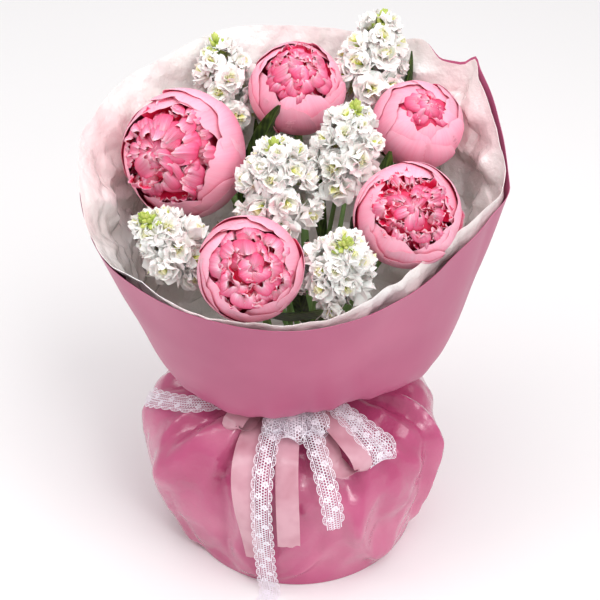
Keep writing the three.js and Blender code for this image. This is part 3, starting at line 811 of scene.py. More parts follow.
def turned_to(axis: Sequence[float], turn: float = 0.0) -> Array:
    """Returns the rotation that turns +Z to an axis, after a turn about itself.

    Args:
        axis: Where +Z goes.
        turn: Degrees about +Z, before that.

    Returns:
        A 3 by 3 matrix.
    """
    lean = Vector((0, 0, 1)).rotation_difference(Vector(axis).normalized())
    return np.array((lean @ Quaternion((0, 0, 1), math.radians(turn))).to_matrix())


def from_tie(centre: Sequence[float]) -> Array:
    """Returns the direction from the tie to a point."""
    return unit(np.array(centre, float) - [0, 0, TIE_HEIGHT])


def frame_at(polar_angle: Array | float, azimuth: Array | float) -> tuple[Array, Array, Array]:
    """Directions on a globe whose pole is +Z.

    Args:
        polar_angle: From +Z, in radians.
        azimuth: In radians.

    Returns:
        The outward, the level and the poleward direction.
    """
    sp, cp = np.sin(polar_angle), np.cos(polar_angle)
    sa, ca = np.sin(azimuth), np.cos(azimuth)
    zero = np.zeros_like(sp * sa)
    outward = np.stack([sp * ca, sp * sa, cp + zero], axis=-1)
    level = np.stack([-sa + zero, ca + zero, zero], axis=-1)
    poleward = np.stack([-cp * ca, -cp * sa, sp + zero], axis=-1)
    return outward, level, poleward


# ---- peonies


@dataclass(frozen=True)
class GuardLayer:
    """A layer of broad petals that overlap like tiles round the globe of a bloom."""

    count: int
    half_width: float  # degrees round the globe
    radius: float  # share of the bloom's radius
    reach_back: float  # degrees short of the opening
    turn: float  # degrees
    lip_roll: float = 0.0  # how far the lip turns in, share of the radius


GUARD_LAYERS = (
    GuardLayer(3, 62, 1.01, 24, 10, 0.015),
    GuardLayer(5, 45, 0.985, 9, 48, 0.03),
    GuardLayer(5, 44, 0.955, -2, 12, 0.05),
)


@dataclass(frozen=True)
class HeartRing:
    """A ring of ruffled petals: how far out in the opening it stands, and how many it has."""

    out: float
    count: int


@dataclass
class PeonyBloom:
    """A double peony, half open: guard petals cupped round a heart of ruffled petals."""

    number: int
    centre: tuple[float, float, float]  # millimetres
    face: tuple[float, float, float]  # where it faces
    radius: float
    opening: float  # degrees from the bloom's axis
    turn: float
    rings: tuple[HeartRing, ...]
    petal_width: float = 0.25  # half width of a heart petal, share of the radius
    hooded: float = 0.75  # share of the heart petals that fold in over the next ones
    hollow: float = 0.06  # how much lower the heart's middle lies, share of the radius
    core_size: float = 0.67
    loose: tuple[float, float, float, float] | None = None  # azimuth, half width, reach, stand-off
    globe_height: float = 0.92
    root: float = 7.0  # polar angle of the petals' roots, in degrees from the bottom
    petal_thickness: float = 0.5
    core_sides: int = 20
    random: np.random.Generator = field(init=False)

    def __post_init__(self) -> None:
        """Seeds this bloom's own random draws."""
        self.random = np.random.default_rng(100 + self.number)

    def build(self) -> None:
        """Builds the guard petals and the heart."""
        guards, heart = Sheaf(), Sheaf()
        rotation, centre = turned_to(self.face, self.turn), np.array(self.centre)
        guard_mould, heart_mould = Mould.cut(22, 18), Mould.cut(14, 11)
        for layer in GUARD_LAYERS:
            for i in range(layer.count):
                stray = self.random.uniform(-0.1, 0.1)
                azimuth = math.radians(layer.turn) + 2 * math.pi * (i + stray) / layer.count
                points = self.guard_petal(guard_mould, layer, azimuth) @ rotation.T + centre
                guards.add(guard_mould, points, self.petal_thickness, self.random.uniform())
        if self.loose:
            azimuth, half_width, reach, stand_off = self.loose
            layer = GuardLayer(1, half_width, 1.0, 180 - self.opening - reach, 0)
            points = self.guard_petal(guard_mould, layer, math.radians(azimuth), stand_off)
            # The loose petal gets the heart's deeper pink and a dark tone of 0.1: painted shade for the shade
            # it hangs in.
            heart.add(guard_mould, points @ rotation.T + centre, self.petal_thickness, 0.1)
        self.core(heart, rotation)
        for number, ring in enumerate(self.rings):
            for i in range(ring.count):
                stray = 0.5 * (number % 2) + self.random.uniform(-0.3, 0.3)
                azimuth = 2 * math.pi * (i + stray) / ring.count
                points = self.heart_petal(heart_mould, ring, azimuth) @ rotation.T + centre
                heart.add(heart_mould, points, self.petal_thickness * 0.8, self.random.uniform())
        name = f"peony_{self.number}"
        petals = guards.build(f"{name}_guard_petals", Finish.GUARD_PETAL)
        settle(petals, "peony_petal", f"{name}_bloom")
        settle(heart.build(f"{name}_heart", Finish.HEART_PETAL), "peony_petal")

    def guard_petal(self, mould: Mould, layer: GuardLayer, azimuth: float, stand_off: float = 0.0) -> Array:
        """Shapes one broad petal round the globe.

        Args:
            mould: The grid to press.
            layer: Its layer.
            azimuth: Where its middle is.
            stand_off: How far its lip stands off the globe, as a share of the radius.

        Returns:
            Points about the bloom's own centre and axis.
        """
        u, v = mould.u, mould.v
        phase = self.random.uniform(0, 2 * math.pi, 4)
        reach = 180 - self.opening - layer.reach_back + self.random.uniform(-5, 5)
        round_corners = 11 * np.abs(u) ** 2.6 * v**2
        lip_waves = 2.6 * v**3 * np.sin(4 * u + phase[0]) * (1 - u * u)
        nicks = v**6 * (0.9 * np.sin(11 * u + phase[3]) + 3 * np.exp(-(((u - 0.2) / 0.07) ** 2)))
        angle = np.radians(blend_values(self.root, reach, v) - round_corners - lip_waves - nicks)
        wave = 0.014 * v**2 * np.sin(3.1 * u + phase[1]) + 0.006 * v**4 * np.sin(9 * u + phase[2])
        lip = -layer.lip_roll * smooth((v - 0.72) / 0.28)
        distance = self.radius * (layer.radius * (1 + 0.035 * u + wave + lip) + stand_off * v)
        outline = np.sin(math.pi * (0.06 + 0.66 * v)) ** 0.7
        spread = azimuth + math.radians(layer.half_width) * outline * u
        return polar(spread, distance * np.sin(angle), -self.globe_height * distance * np.cos(angle))

    def heart_petal(self, mould: Mould, ring: HeartRing, azimuth: float) -> Array:
        """Shapes one ruffled petal of the heart, hollow towards the bloom's axis.

        Args:
            mould: The grid to press.
            ring: The ring it stands in.
            azimuth: Where it stands.

        Returns:
            Points about the bloom's own centre and axis.
        """
        u, v, random = mould.u, mould.v, self.random
        hooded = random.uniform() < self.hooded
        middle = math.radians(ring.out * self.opening + random.uniform(-5, 5))
        hood = math.radians(random.uniform(14, 27) if hooded else random.uniform(2, 10))
        polar_angle = middle + 0.1 - hood * smooth((v - 0.42) / 0.58)
        outward, level, poleward = frame_at(polar_angle, azimuth)
        twist = random.normal(0, 0.35 if hooded else 0.6)
        across = level * math.cos(twist) + poleward * math.sin(twist)
        facing = poleward * math.cos(twist) - level * math.sin(twist)
        half = self.radius * self.petal_width * random.uniform(0.65, 1.35)
        phase = random.uniform(0, 2 * math.pi, 4)
        lobes = 0.04 * np.cos(4.5 * u + phase[0]) + 0.022 * np.sin(13 * u + phase[1])
        notch = 0.07 * np.exp(-(((u - random.uniform(-0.4, 0.4)) / 0.14) ** 2))
        tip = random.uniform(0.8, 0.96) - self.hollow * (1 - min(1, ring.out))
        rise = np.sin(0.5 * math.pi * np.minimum(v / (0.66 if hooded else 1.0), 1)) ** 0.9
        shape = blend_values(0.35, tip - 0.05 * (1 - v), rise) + (lobes - notch - 0.05 * u * u) * v**3
        width = half * (0.35 + 0.65 * np.sin(0.5 * math.pi * np.minimum(1.2 * v, 1)))
        width *= 1 - 0.35 * smooth((v - 0.72) / 0.28) ** 2
        ruffle = v**2 * half * (0.2 * np.sin(3 * u + phase[2]) + 0.11 * np.sin(7.5 * u + phase[3]))
        over = smooth((v - 0.4) / 0.5) if hooded else 0.0 * v
        cup = half * (random.uniform(0.4, 0.8) if hooded else random.uniform(0.05, 0.35)) * u * u
        curl = random.uniform(-0.05, 0.1) * self.radius * smooth((v - 0.8) / 0.2)
        depth = self.radius * shape - over * (cup * 1.1 + curl - ruffle)
        return (
            outward * depth[:, None]
            + across * (width * u)[:, None]
            + facing * (ruffle + cup * (1 - over) * (0.4 + 0.6 * v))[:, None]
        )

    def core(self, sheaf: Sheaf, rotation: Array) -> None:
        """Adds the crowded middle that the heart petals grow from.

        Args:
            sheaf: Takes it.
            rotation: Turns the bloom's own axis to where it faces.
        """
        polar_angle = np.linspace(math.pi - 0.15, 0.15, 9)[:, None]
        globe, _, _ = frame_at(polar_angle, round_steps(self.core_sides)[None, :])
        rings = self.core_size * self.radius * globe @ rotation.T + np.array(self.centre)
        sheaf.add_rings(rings, 0.0)


def heart_rings(*rings: tuple[float, int]) -> tuple[HeartRing, ...]:
    """Returns the rings of a heart from pairs of place and count."""
    return tuple(HeartRing(*ring) for ring in rings)


PEONIES = (
    PeonyBloom(
        1, (-106, 28, 408), (-42, -80, 48), 60, 54, 20,
        heart_rings((1.2, 15), (1.0, 15), (0.8, 13), (0.6, 11), (0.42, 8), (0.25, 5), (0.08, 3)),
        petal_width=0.2,
    ),
    PeonyBloom(
        2, (-41, -106, 373), (3, -81, 58), 47, 54, 75,
        heart_rings((1.15, 14), (0.92, 13), (0.7, 11), (0.48, 8), (0.28, 5), (0.08, 3)),
        petal_width=0.24,
    ),
    PeonyBloom(
        3, (115, 71, 415), (20, -46, 80), 43, 27, 130,
        heart_rings((1.15, 12), (0.8, 9), (0.45, 6), (0.1, 3)),
        petal_width=0.19, core_size=0.83,
    ),
    PeonyBloom(
        4, (101, -44, 389), (4, -73, 67), 48, 49, 10,
        heart_rings((1.15, 20), (0.98, 19), (0.8, 17), (0.62, 14), (0.45, 11), (0.28, 7), (0.1, 4)),
        petal_width=0.15, hooded=0.38, hollow=0.1, core_size=0.7, loose=(-15, 24, 78, 0.13),
    ),
    PeonyBloom(
        5, (0, 95, 441), (0, -48, 82), 45.5, 46, 55,
        heart_rings((1.15, 14), (0.92, 12), (0.7, 10), (0.48, 8), (0.28, 5), (0.08, 3)),
        petal_width=0.21,
    ),
)  # fmt: skip


# ---- stock


@dataclass(frozen=True)
class FloretRing:
    """One ring of petals in a double floret."""

    count: int
    length: float  # share of the floret's radius
    half_width: float
    lean: float  # degrees from the way the floret faces
    heart: bool = False


FLORET_RINGS = (
    FloretRing(5, 1.0, 0.66, 94),
    FloretRing(5, 0.86, 0.6, 68),
    FloretRing(4, 0.64, 0.5, 42),
    FloretRing(3, 0.36, 0.2, 16, heart=True),
)


@dataclass
class StockSpike:
    """A spike of double white stock: ruffled florets round a stem that ends in green buds."""

    number: int
    centre: tuple[float, float, float]
    radius: float
    florets: int = 20
    half: float = 32.0  # height of the first and last floret from the spike's middle
    floret_radius: float = 17.5
    petal_thickness: float = 0.4
    golden_angle: float = math.pi * (3 - math.sqrt(5))
    random: np.random.Generator = field(init=False)

    def __post_init__(self) -> None:
        """Seeds this spike's own random draws."""
        self.random = np.random.default_rng(200 + self.number)

    def build(self) -> None:
        """Builds the white petals and the green-yellow hearts."""
        petals, hearts = Sheaf(), Sheaf()
        mould, rotation = Mould.cut(8, 6), turned_to(from_tie(self.centre))
        for i in range(self.florets):
            share = i / (self.florets - 1)
            azimuth = self.golden_angle * i + self.random.uniform(-0.25, 0.25)
            tilt = math.radians(blend_values(-8, 62, share**1.4) + self.random.uniform(-10, 10))
            facing = polar(azimuth, math.cos(tilt), math.sin(tilt))
            size = self.floret_radius * blend_values(1.08, 0.7, share**1.6) * self.random.uniform(0.8, 1.15)
            reach = self.radius * blend_values(1.02, 0.7, share**1.5) - 0.35 * size
            reach += self.random.uniform(-4, 2)
            height = blend_values(-self.half, self.half - 12, share)
            base = np.array([0, 0, height]) + facing * (reach - 0.5 * size)
            for tone, points, heart in self.floret(mould, base, facing, size):
                sheaf = hearts if heart else petals
                points = points @ rotation.T + np.array(self.centre)
                sheaf.add(mould, points, self.petal_thickness, tone)
        name = f"stock_{self.number}"
        piece = petals.build(f"{name}_petals", Finish.STOCK_PETAL)
        settle(piece, "stock_floret", f"{name}_florets")
        settle(hearts.build(f"{name}_hearts", Finish.STOCK_HEART), "stock_floret")

    def floret(
        self, mould: Mould, base: Array, facing: Array, size: float
    ) -> Iterable[tuple[float, Array, bool]]:
        """Shapes the petals of one floret.

        Args:
            mould: The grid to press.
            base: Where the petals are rooted.
            facing: The way the floret faces.
            size: Its radius.

        Yields:
            Each petal's tone, its points and whether it belongs to the heart.
        """
        side, rise = square_to(facing)
        spin = self.random.uniform(0, 2 * math.pi)
        u, v = mould.u, mould.v
        for number, ring in enumerate(FLORET_RINGS):
            for i in range(ring.count):
                stray = 0.5 * number + self.random.uniform(-0.18, 0.18)
                turn = spin + 2 * math.pi * (i + stray) / ring.count
                outward = side * math.cos(turn) + rise * math.sin(turn)
                across = np.cross(facing, outward)
                phase = self.random.uniform(0, 2 * math.pi, 3)
                lean = math.radians(ring.lean + self.random.uniform(-20, 20))
                bend = lean * (0.35 + 0.75 * v)
                length = ring.length * size * self.random.uniform(0.82, 1.1)
                lip = 1 - 0.12 * u**2 - 0.1 * np.exp(-((u / 0.3) ** 2)) + 0.02 * np.sin(6 * u + phase[0])
                along = length * v * lip
                widening = 0.28 + 0.72 * np.sin(0.5 * math.pi * np.minimum(v * 1.4, 1))
                width = ring.half_width * size * widening * (1 - 0.4 * smooth((v - 0.6) / 0.4) ** 1.5)
                ruffle = 0.2 * np.sin(3.6 * u + phase[1]) + 0.05 * np.sin(6.5 * u + phase[2])
                ruffle = ruffle * v**1.4 * size
                cup = 0.2 * size * u * u * v * self.random.uniform(-0.5, 1.5)
                normal = facing[None, :] * np.sin(bend)[:, None] - outward[None, :] * np.cos(bend)[:, None]
                rise_up = 0.5 * size * v**0.6 * math.cos(lean) + along * np.cos(bend) * 0.6 + 0.42 * size * v
                points = (
                    base
                    + facing * rise_up[:, None]
                    + outward * (along * np.sin(bend))[:, None]
                    + across * (width * u)[:, None]
                    + normal * (ruffle + cup)[:, None]
                )
                yield self.random.uniform(), points, ring.heart


STOCKS = (
    StockSpike(1, (-69, 123, 432), 33),
    StockSpike(2, (74, 133, 452), 34),
    StockSpike(3, (46, 11, 428), 35, florets=22),
    StockSpike(4, (-17, -27, 415), 37, florets=25),
    StockSpike(5, (37, -97, 371), 32, florets=20),
    StockSpike(6, (-115, -59, 368), 31, florets=18),
)


# ---- stems and leaves


@dataclass(frozen=True)
class Leaf:
    """A leaf on a stem: where it grows from, where its tip is and how wide it is."""

    share: float  # of the stem between the tie and the head
    tip: tuple[float, float, float]
    width: float
    arch: tuple[float, float, float]  # how far its middle stands off the straight line to its tip
    turn: float = 0.0  # degrees about its own length


LEAVES = {
    "peony_1": (Leaf(0.72, (-16, 47, 450), 25, (-4, 18, 4)),),
    "peony_2": (
        Leaf(0.55, (23, -119, 338), 24, (2, -14, 8)),
        Leaf(0.62, (-72, -30, 372), 24, (-6, 10, 0)),
    ),
    "peony_4": (
        Leaf(0.6, (87, 26, 413), 26, (0, 12, 0), 60),
        Leaf(0.55, (50, -28, 376), 22, (-6, 0, 0)),
    ),
    "stock_2": (Leaf(0.82, (111, 139, 457), 13, (25, 0, -22)),),
    "stock_3": (Leaf(0.6, (78, 0, 385), 15, (8, -6, 0)), Leaf(0.65, (20, 40, 395), 15, (-6, 8, 0))),
    "stock_4": (
        Leaf(0.6, (10, -58, 372), 15, (4, -10, 0)),
        Leaf(0.65, (-58, -22, 385), 15, (-8, 0, 0)),
        Leaf(0.62, (-30, 20, 385), 14, (0, 8, 0)),
    ),
    "stock_5": (Leaf(0.6, (68, -72, 352), 15, (10, 4, 0)), Leaf(0.6, (2, -82, 350), 14, (-8, -6, 0))),
    "stock_6": (Leaf(0.62, (-88, -78, 345), 14, (-2, -8, 0)), Leaf(0.6, (-92, -22, 360), 14, (-6, 8, 0))),
    "stock_1": (Leaf(0.65, (-40, 98, 405), 15, (4, 0, 0)),),
}


# Where each outer stem crosses the tie, in degrees; the spiral lags behind this.
STEM_SLOTS = {
    "peony_1": 144,
    "peony_2": -127,
    "peony_3": 22,
    "peony_4": -8,
    "peony_5": 90,
    "stock_1": 116,
    "stock_2": 62,
    "stock_5": -70,
    "stock_6": -160,
}


@dataclass
class StemSpiral:
    """The eleven stems: they spiral through the tie and stand on their cut ends."""

    waist_circle: float = 17.0  # radius on which the outer stems cross the tie
    foot_circle: float = 64.0  # radius on which their cut ends stand
    inner_offset: float = 4.6  # of the two inner stems from the bunch's axis, at the tie
    foot_height: float = 1.25
    lag: float = 78.0  # degrees that the spiral lags behind the slots
    peony_stem: float = 4.0  # radius
    stock_stem: float = 3.1  # radius
    seat_depth: float = 0.93  # of a bloom's underside below its middle, share of its radius
    seat_gap: float = 0.35
    calyx_height: float = 0.2  # share of the bloom's radius
    calyx_profile: tuple = ((0, 0.075), (0.3, 0.1), (0.6, 0.17), (0.85, 0.24), (1.0, 0.26))
    bud_profile: tuple = ((0.0, 0.25), (0.18, 0.75), (0.45, 1.0), (0.75, 0.72), (0.93, 0.34), (1.0, 0.08))
    bud_count: int = 20
    spike_half: float = 45.0  # how far a spike reaches from its middle, either way
    sepals_each: int = 5
    bend: float = 14.0  # millimetres on each side of a stem's corner that it bends over

    def route(self, key: str, top: Array) -> tuple[Array, Array]:
        """Finds where a stem stands and where it crosses the tie.

        Args:
            key: The stem's flower.
            top: Where the stem ends below that flower.

        Returns:
            Both points.
        """
        if key not in STEM_SLOTS:
            azimuth = math.atan2(top[1], top[0])
            foot = polar(azimuth - math.pi / 2, 3 * self.inner_offset, self.foot_height)
            return foot, polar(azimuth, self.inner_offset, TIE_HEIGHT)
        azimuth = math.radians(STEM_SLOTS[key] - self.lag)
        travel = math.sqrt(self.foot_circle**2 - self.waist_circle**2)
        foot = polar(azimuth, self.waist_circle, self.foot_height) + polar(azimuth - math.pi / 2, travel)
        return foot, polar(azimuth, self.waist_circle, TIE_HEIGHT)

    def build(self, blooms: Sequence[PeonyBloom], spikes: Sequence[StockSpike]) -> None:
        """Builds every stem with what grows on it.

        Args:
            blooms: The peonies.
            spikes: The stems of stock.
        """
        for bloom in blooms:
            key, axis, centre = f"peony_{bloom.number}", unit(np.array(bloom.face, float)), bloom.centre
            random = np.random.default_rng(300 + bloom.number)
            stalk, blades = Sheaf(), Sheaf()
            seat = np.array(centre) - axis * (self.seat_depth * bloom.radius + self.seat_gap)
            under = seat - axis * self.calyx_height * bloom.radius
            foot, waist = self.route(key, under)
            self.tube(stalk, [foot, waist, under, seat - axis * 1.5], self.peony_stem)
            self.calyx(stalk, bloom.radius, axis, under, seat)
            self.sepals(blades, bloom, axis, random)
            self.finish(key, stalk, blades, waist, under)
        for spike in spikes:
            key, axis = f"stock_{spike.number}", from_tie(spike.centre)
            random = np.random.default_rng(400 + spike.number)
            stalk, blades, buds = Sheaf(), Sheaf(), Sheaf()
            entry = np.array(spike.centre) - axis * self.spike_half
            tip = np.array(spike.centre) + axis * self.spike_half
            foot, waist = self.route(key, entry)
            self.tube(stalk, [foot, waist, entry, tip - axis * 6], self.stock_stem, tip_share=0.45)
            self.buds(buds, tip, axis, random)
            self.finish(key, stalk, blades, waist, entry)
            settle(buds.build(f"{key}_buds", Finish.BUD), "stem")

    def finish(self, key: str, stalk: Sheaf, blades: Sheaf, waist: Array, top: Array) -> None:
        """Adds a stem's leaves and makes its pieces.

        Args:
            key: The stem's flower.
            stalk: Its round parts.
            blades: Its sepals, if it has them; takes the leaves.
            waist: Where it crosses the tie.
            top: Where it ends below its flower.
        """
        for leaf in LEAVES.get(key, ()):
            self.leaf(blades, waist + (top - waist) * leaf.share, leaf)
        settle(stalk.build(f"{key}_stalk", Finish.STEM), "stem", f"{key}_stem")
        if blades.filled:
            settle(blades.build(f"{key}_leaves", Finish.LEAF), "stem")

    def tube(
        self, sheaf: Sheaf, line: Sequence[Array], radius: float, tip_share: float = 1.0, sides: int = 14
    ) -> None:
        """Adds a round stem along a line, softly bent at its corners.

        Args:
            sheaf: Takes the stem.
            line: Its corners, from the cut end up.
            radius: In millimetres.
            tip_share: Its radius at the top as a share of the radius below.
            sides: How many faces it has round.
        """
        centre = [line[0]]
        for before, corner, after in zip(line, line[1:], line[2:]):
            near, far = (
                corner + unit(end - corner) * min(self.bend, np.linalg.norm(end - corner) / 3)
                for end in (before, after)
            )
            for t in np.linspace(0, 1, 5):
                centre.append((1 - t) ** 2 * near + 2 * t * (1 - t) * corner + t * t * far)
        centre = np.array(centre + [line[-1]])
        side, front = square_to(unit(np.gradient(centre, axis=0)))
        travel = travelled(centre)
        width = radius * blend_values(1.0, tip_share, (travel / travel[-1]) ** 2)
        hoop = circle(side[:, None], front[:, None], round_steps(sides))
        rings = centre[:, None] + width[:, None, None] * hoop
        rings[0, :, 2] = self.foot_height
        sheaf.add_rings(rings)

    def calyx(self, sheaf: Sheaf, size: float, axis: Array, low: Array, seat: Array) -> None:
        """Adds the green cup under a peony.

        Args:
            sheaf: Takes it.
            size: The bloom's radius.
            axis: The way the bloom faces.
            low: Where the cup starts, on the stem.
            seat: Where the bloom sits on it.
        """
        height = np.linalg.norm(seat - low)
        hoop = circle(*square_to(axis), round_steps(20))
        rings = [low + axis * height * at + hoop * wide * size for at, wide in self.calyx_profile]
        sheaf.add_rings(np.array(rings))

    def sepals(self, sheaf: Sheaf, bloom: PeonyBloom, axis: Array, random: np.random.Generator) -> None:
        """Adds the small green leaves that hug a peony from below.

        Args:
            sheaf: Takes them.
            bloom: The peony.
            axis: The way it faces.
            random: Draws where each one stands and how far up it reaches.
        """
        mould = Mould.cut(6, 10)
        side, front = square_to(axis)
        u, v = mould.u, mould.v
        globe = 1.05 * bloom.radius + 1.2
        for i in range(self.sepals_each):
            turn = 2 * math.pi * (i + random.uniform(-0.2, 0.2)) / self.sepals_each
            spread = turn + math.radians(24) * np.sin(math.pi * (0.1 + 0.86 * v)) ** 0.8 * u
            angle = np.radians(blend_values(14, random.uniform(44, 60), v))
            depth = axis * (globe * bloom.globe_height * np.cos(angle))[:, None]
            out = circle(side, front, spread) * (globe * np.sin(angle))[:, None]
            sheaf.add(mould, np.array(bloom.centre) + out - depth, 0.7, random.uniform())

    def leaf(self, sheaf: Sheaf, root: Array, leaf: Leaf) -> None:
        """Adds one pointed leaf with a folded midrib and a wavy edge.

        Args:
            sheaf: Takes it.
            root: Where it grows from the stem.
            leaf: Its sizes.
        """
        mould = Mould.cut(12, 22)
        end = np.array(leaf.tip, float)
        middle = (root + end) / 2 + np.array(leaf.arch)
        v = mould.v[:, None]
        rib = (1 - v) ** 2 * root + 2 * v * (1 - v) * middle + v * v * end
        along = unit((1 - v) * (middle - root) + v * (end - middle))
        side = unit(np.cross(along, unit(end * [1, 1, 0])))
        side = circle(side, np.cross(along, side), math.radians(leaf.turn))
        face = np.cross(side, along)
        half = leaf.width / 2 * np.sin(math.pi * (0.05 + 0.93 * mould.v)) ** 0.8
        rise = half * (0.3 * np.abs(mould.u) + 0.1 * mould.u**2 * np.sin(9 * mould.v))
        points = rib + side * (half * mould.u)[:, None] + face * rise[:, None]
        sheaf.add(mould, points, 0.8, 0.5)

    def buds(self, sheaf: Sheaf, tip: Array, axis: Array, random: np.random.Generator) -> None:
        """Adds the cluster of unopened buds at a spike's tip.

        Args:
            sheaf: Takes them.
            tip: The end of the stem.
            axis: The way the stem points there.
            random: Draws each bud's length and tone.
        """
        side, front = square_to(axis)
        angle = round_steps(8)
        for i in range(self.bud_count):
            share = i / (self.bud_count - 1)
            turn = 2.4 * i
            lean = math.radians(blend_values(78, 8, share))
            outward = side * math.cos(turn) + front * math.sin(turn)
            way = axis * math.cos(lean) + outward * math.sin(lean)
            across = unit(np.cross(way, outward + axis * 0.3))
            third = np.cross(across, way)
            length = blend_values(11.0, 7.0, share) * random.uniform(0.9, 1.1)
            hoop = circle(across, third, angle) * length * 0.29
            base = tip - axis * blend_values(17, 4, share) + way * 1.5
            rings = [base + way * length * at + hoop * width for at, width in self.bud_profile]
            sheaf.add_rings(np.array(rings), random.uniform())


# ---- film wrap


@dataclass(frozen=True)
class Fold:
    """A long crease in the skirt: a raised edge that falls off sharply on one side."""

    start: tuple[float, float]  # azimuth in degrees and share of the skirt's profile
    end: tuple[float, float]
    width: float  # degrees to where it fades out
    depth: float  # millimetres, below 0 for a groove

    def height(self, azimuth: Array, share: Array) -> Array:
        """Finds what the crease adds to the film's surface.

        Args:
            azimuth: Round the bunch, in radians.
            share: Of the skirt's profile, one for each row.

        Returns:
            Millimetres outwards, for each row and azimuth.
        """
        degrees = (np.degrees(azimuth)[None, :] + 180) % 360 - 180
        along = np.clip((share - self.start[1]) / (self.end[1] - self.start[1]), -0.3, 1.3)
        off = (degrees - blend_values(self.start[0], self.end[0], along) + 180) % 360 - 180
        near = np.clip(np.where(off > 0, 1 - off / self.width, 1 + off / (0.6 * self.width)), 0, 1)
        fade = smooth(np.minimum(along + 0.3, 1.3 - along) / 0.45)
        return self.depth * (0.7 * smooth(near) + 0.3 * near) * fade


SKIRT_FOLDS = (
    Fold((-150, 0.3), (-129, 0.82), 17, 13),
    Fold((-126, 0.36), (-120, 0.82), 8, -11),
    Fold((-116, 0.2), (-112, 0.55), 10, 8),
    Fold((-66, 0.24), (-50, 0.72), 13, 10),
    Fold((-36, 0.36), (-54, 0.7), 10, 7),
    Fold((-54, 0.1), (-76, 0.4), 11, 9),
    Fold((-24, 0.18), (-14, 0.75), 9, 12),
    Fold((-92, 0.08), (-68, 0.28), 9, 5),
    Fold((20, 0.2), (34, 0.75), 12, 5),
    Fold((64, 0.3), (52, 0.8), 10, 4),
    Fold((98, 0.15), (112, 0.7), 12, 5),
    Fold((146, 0.25), (138, 0.8), 11, 4.5),
    Fold((176, 0.2), (190, 0.7), 12, 5),
)


@dataclass(frozen=True)
class Crush:
    """One size of the faces that crumpled film falls into."""

    cells: int  # how many faces over the whole sheet
    depth: float  # millimetres on the skirt, and this size's share of the crumples on the liner
    seed: int
    stretch: tuple[float, float, float] = (1.0, 1.0, 1.0)

    def height(self, places: Array) -> Array:
        """Returns what it adds to the surface at each place."""
        return self.depth * crumple(places, self.cells, self.seed, self.stretch)


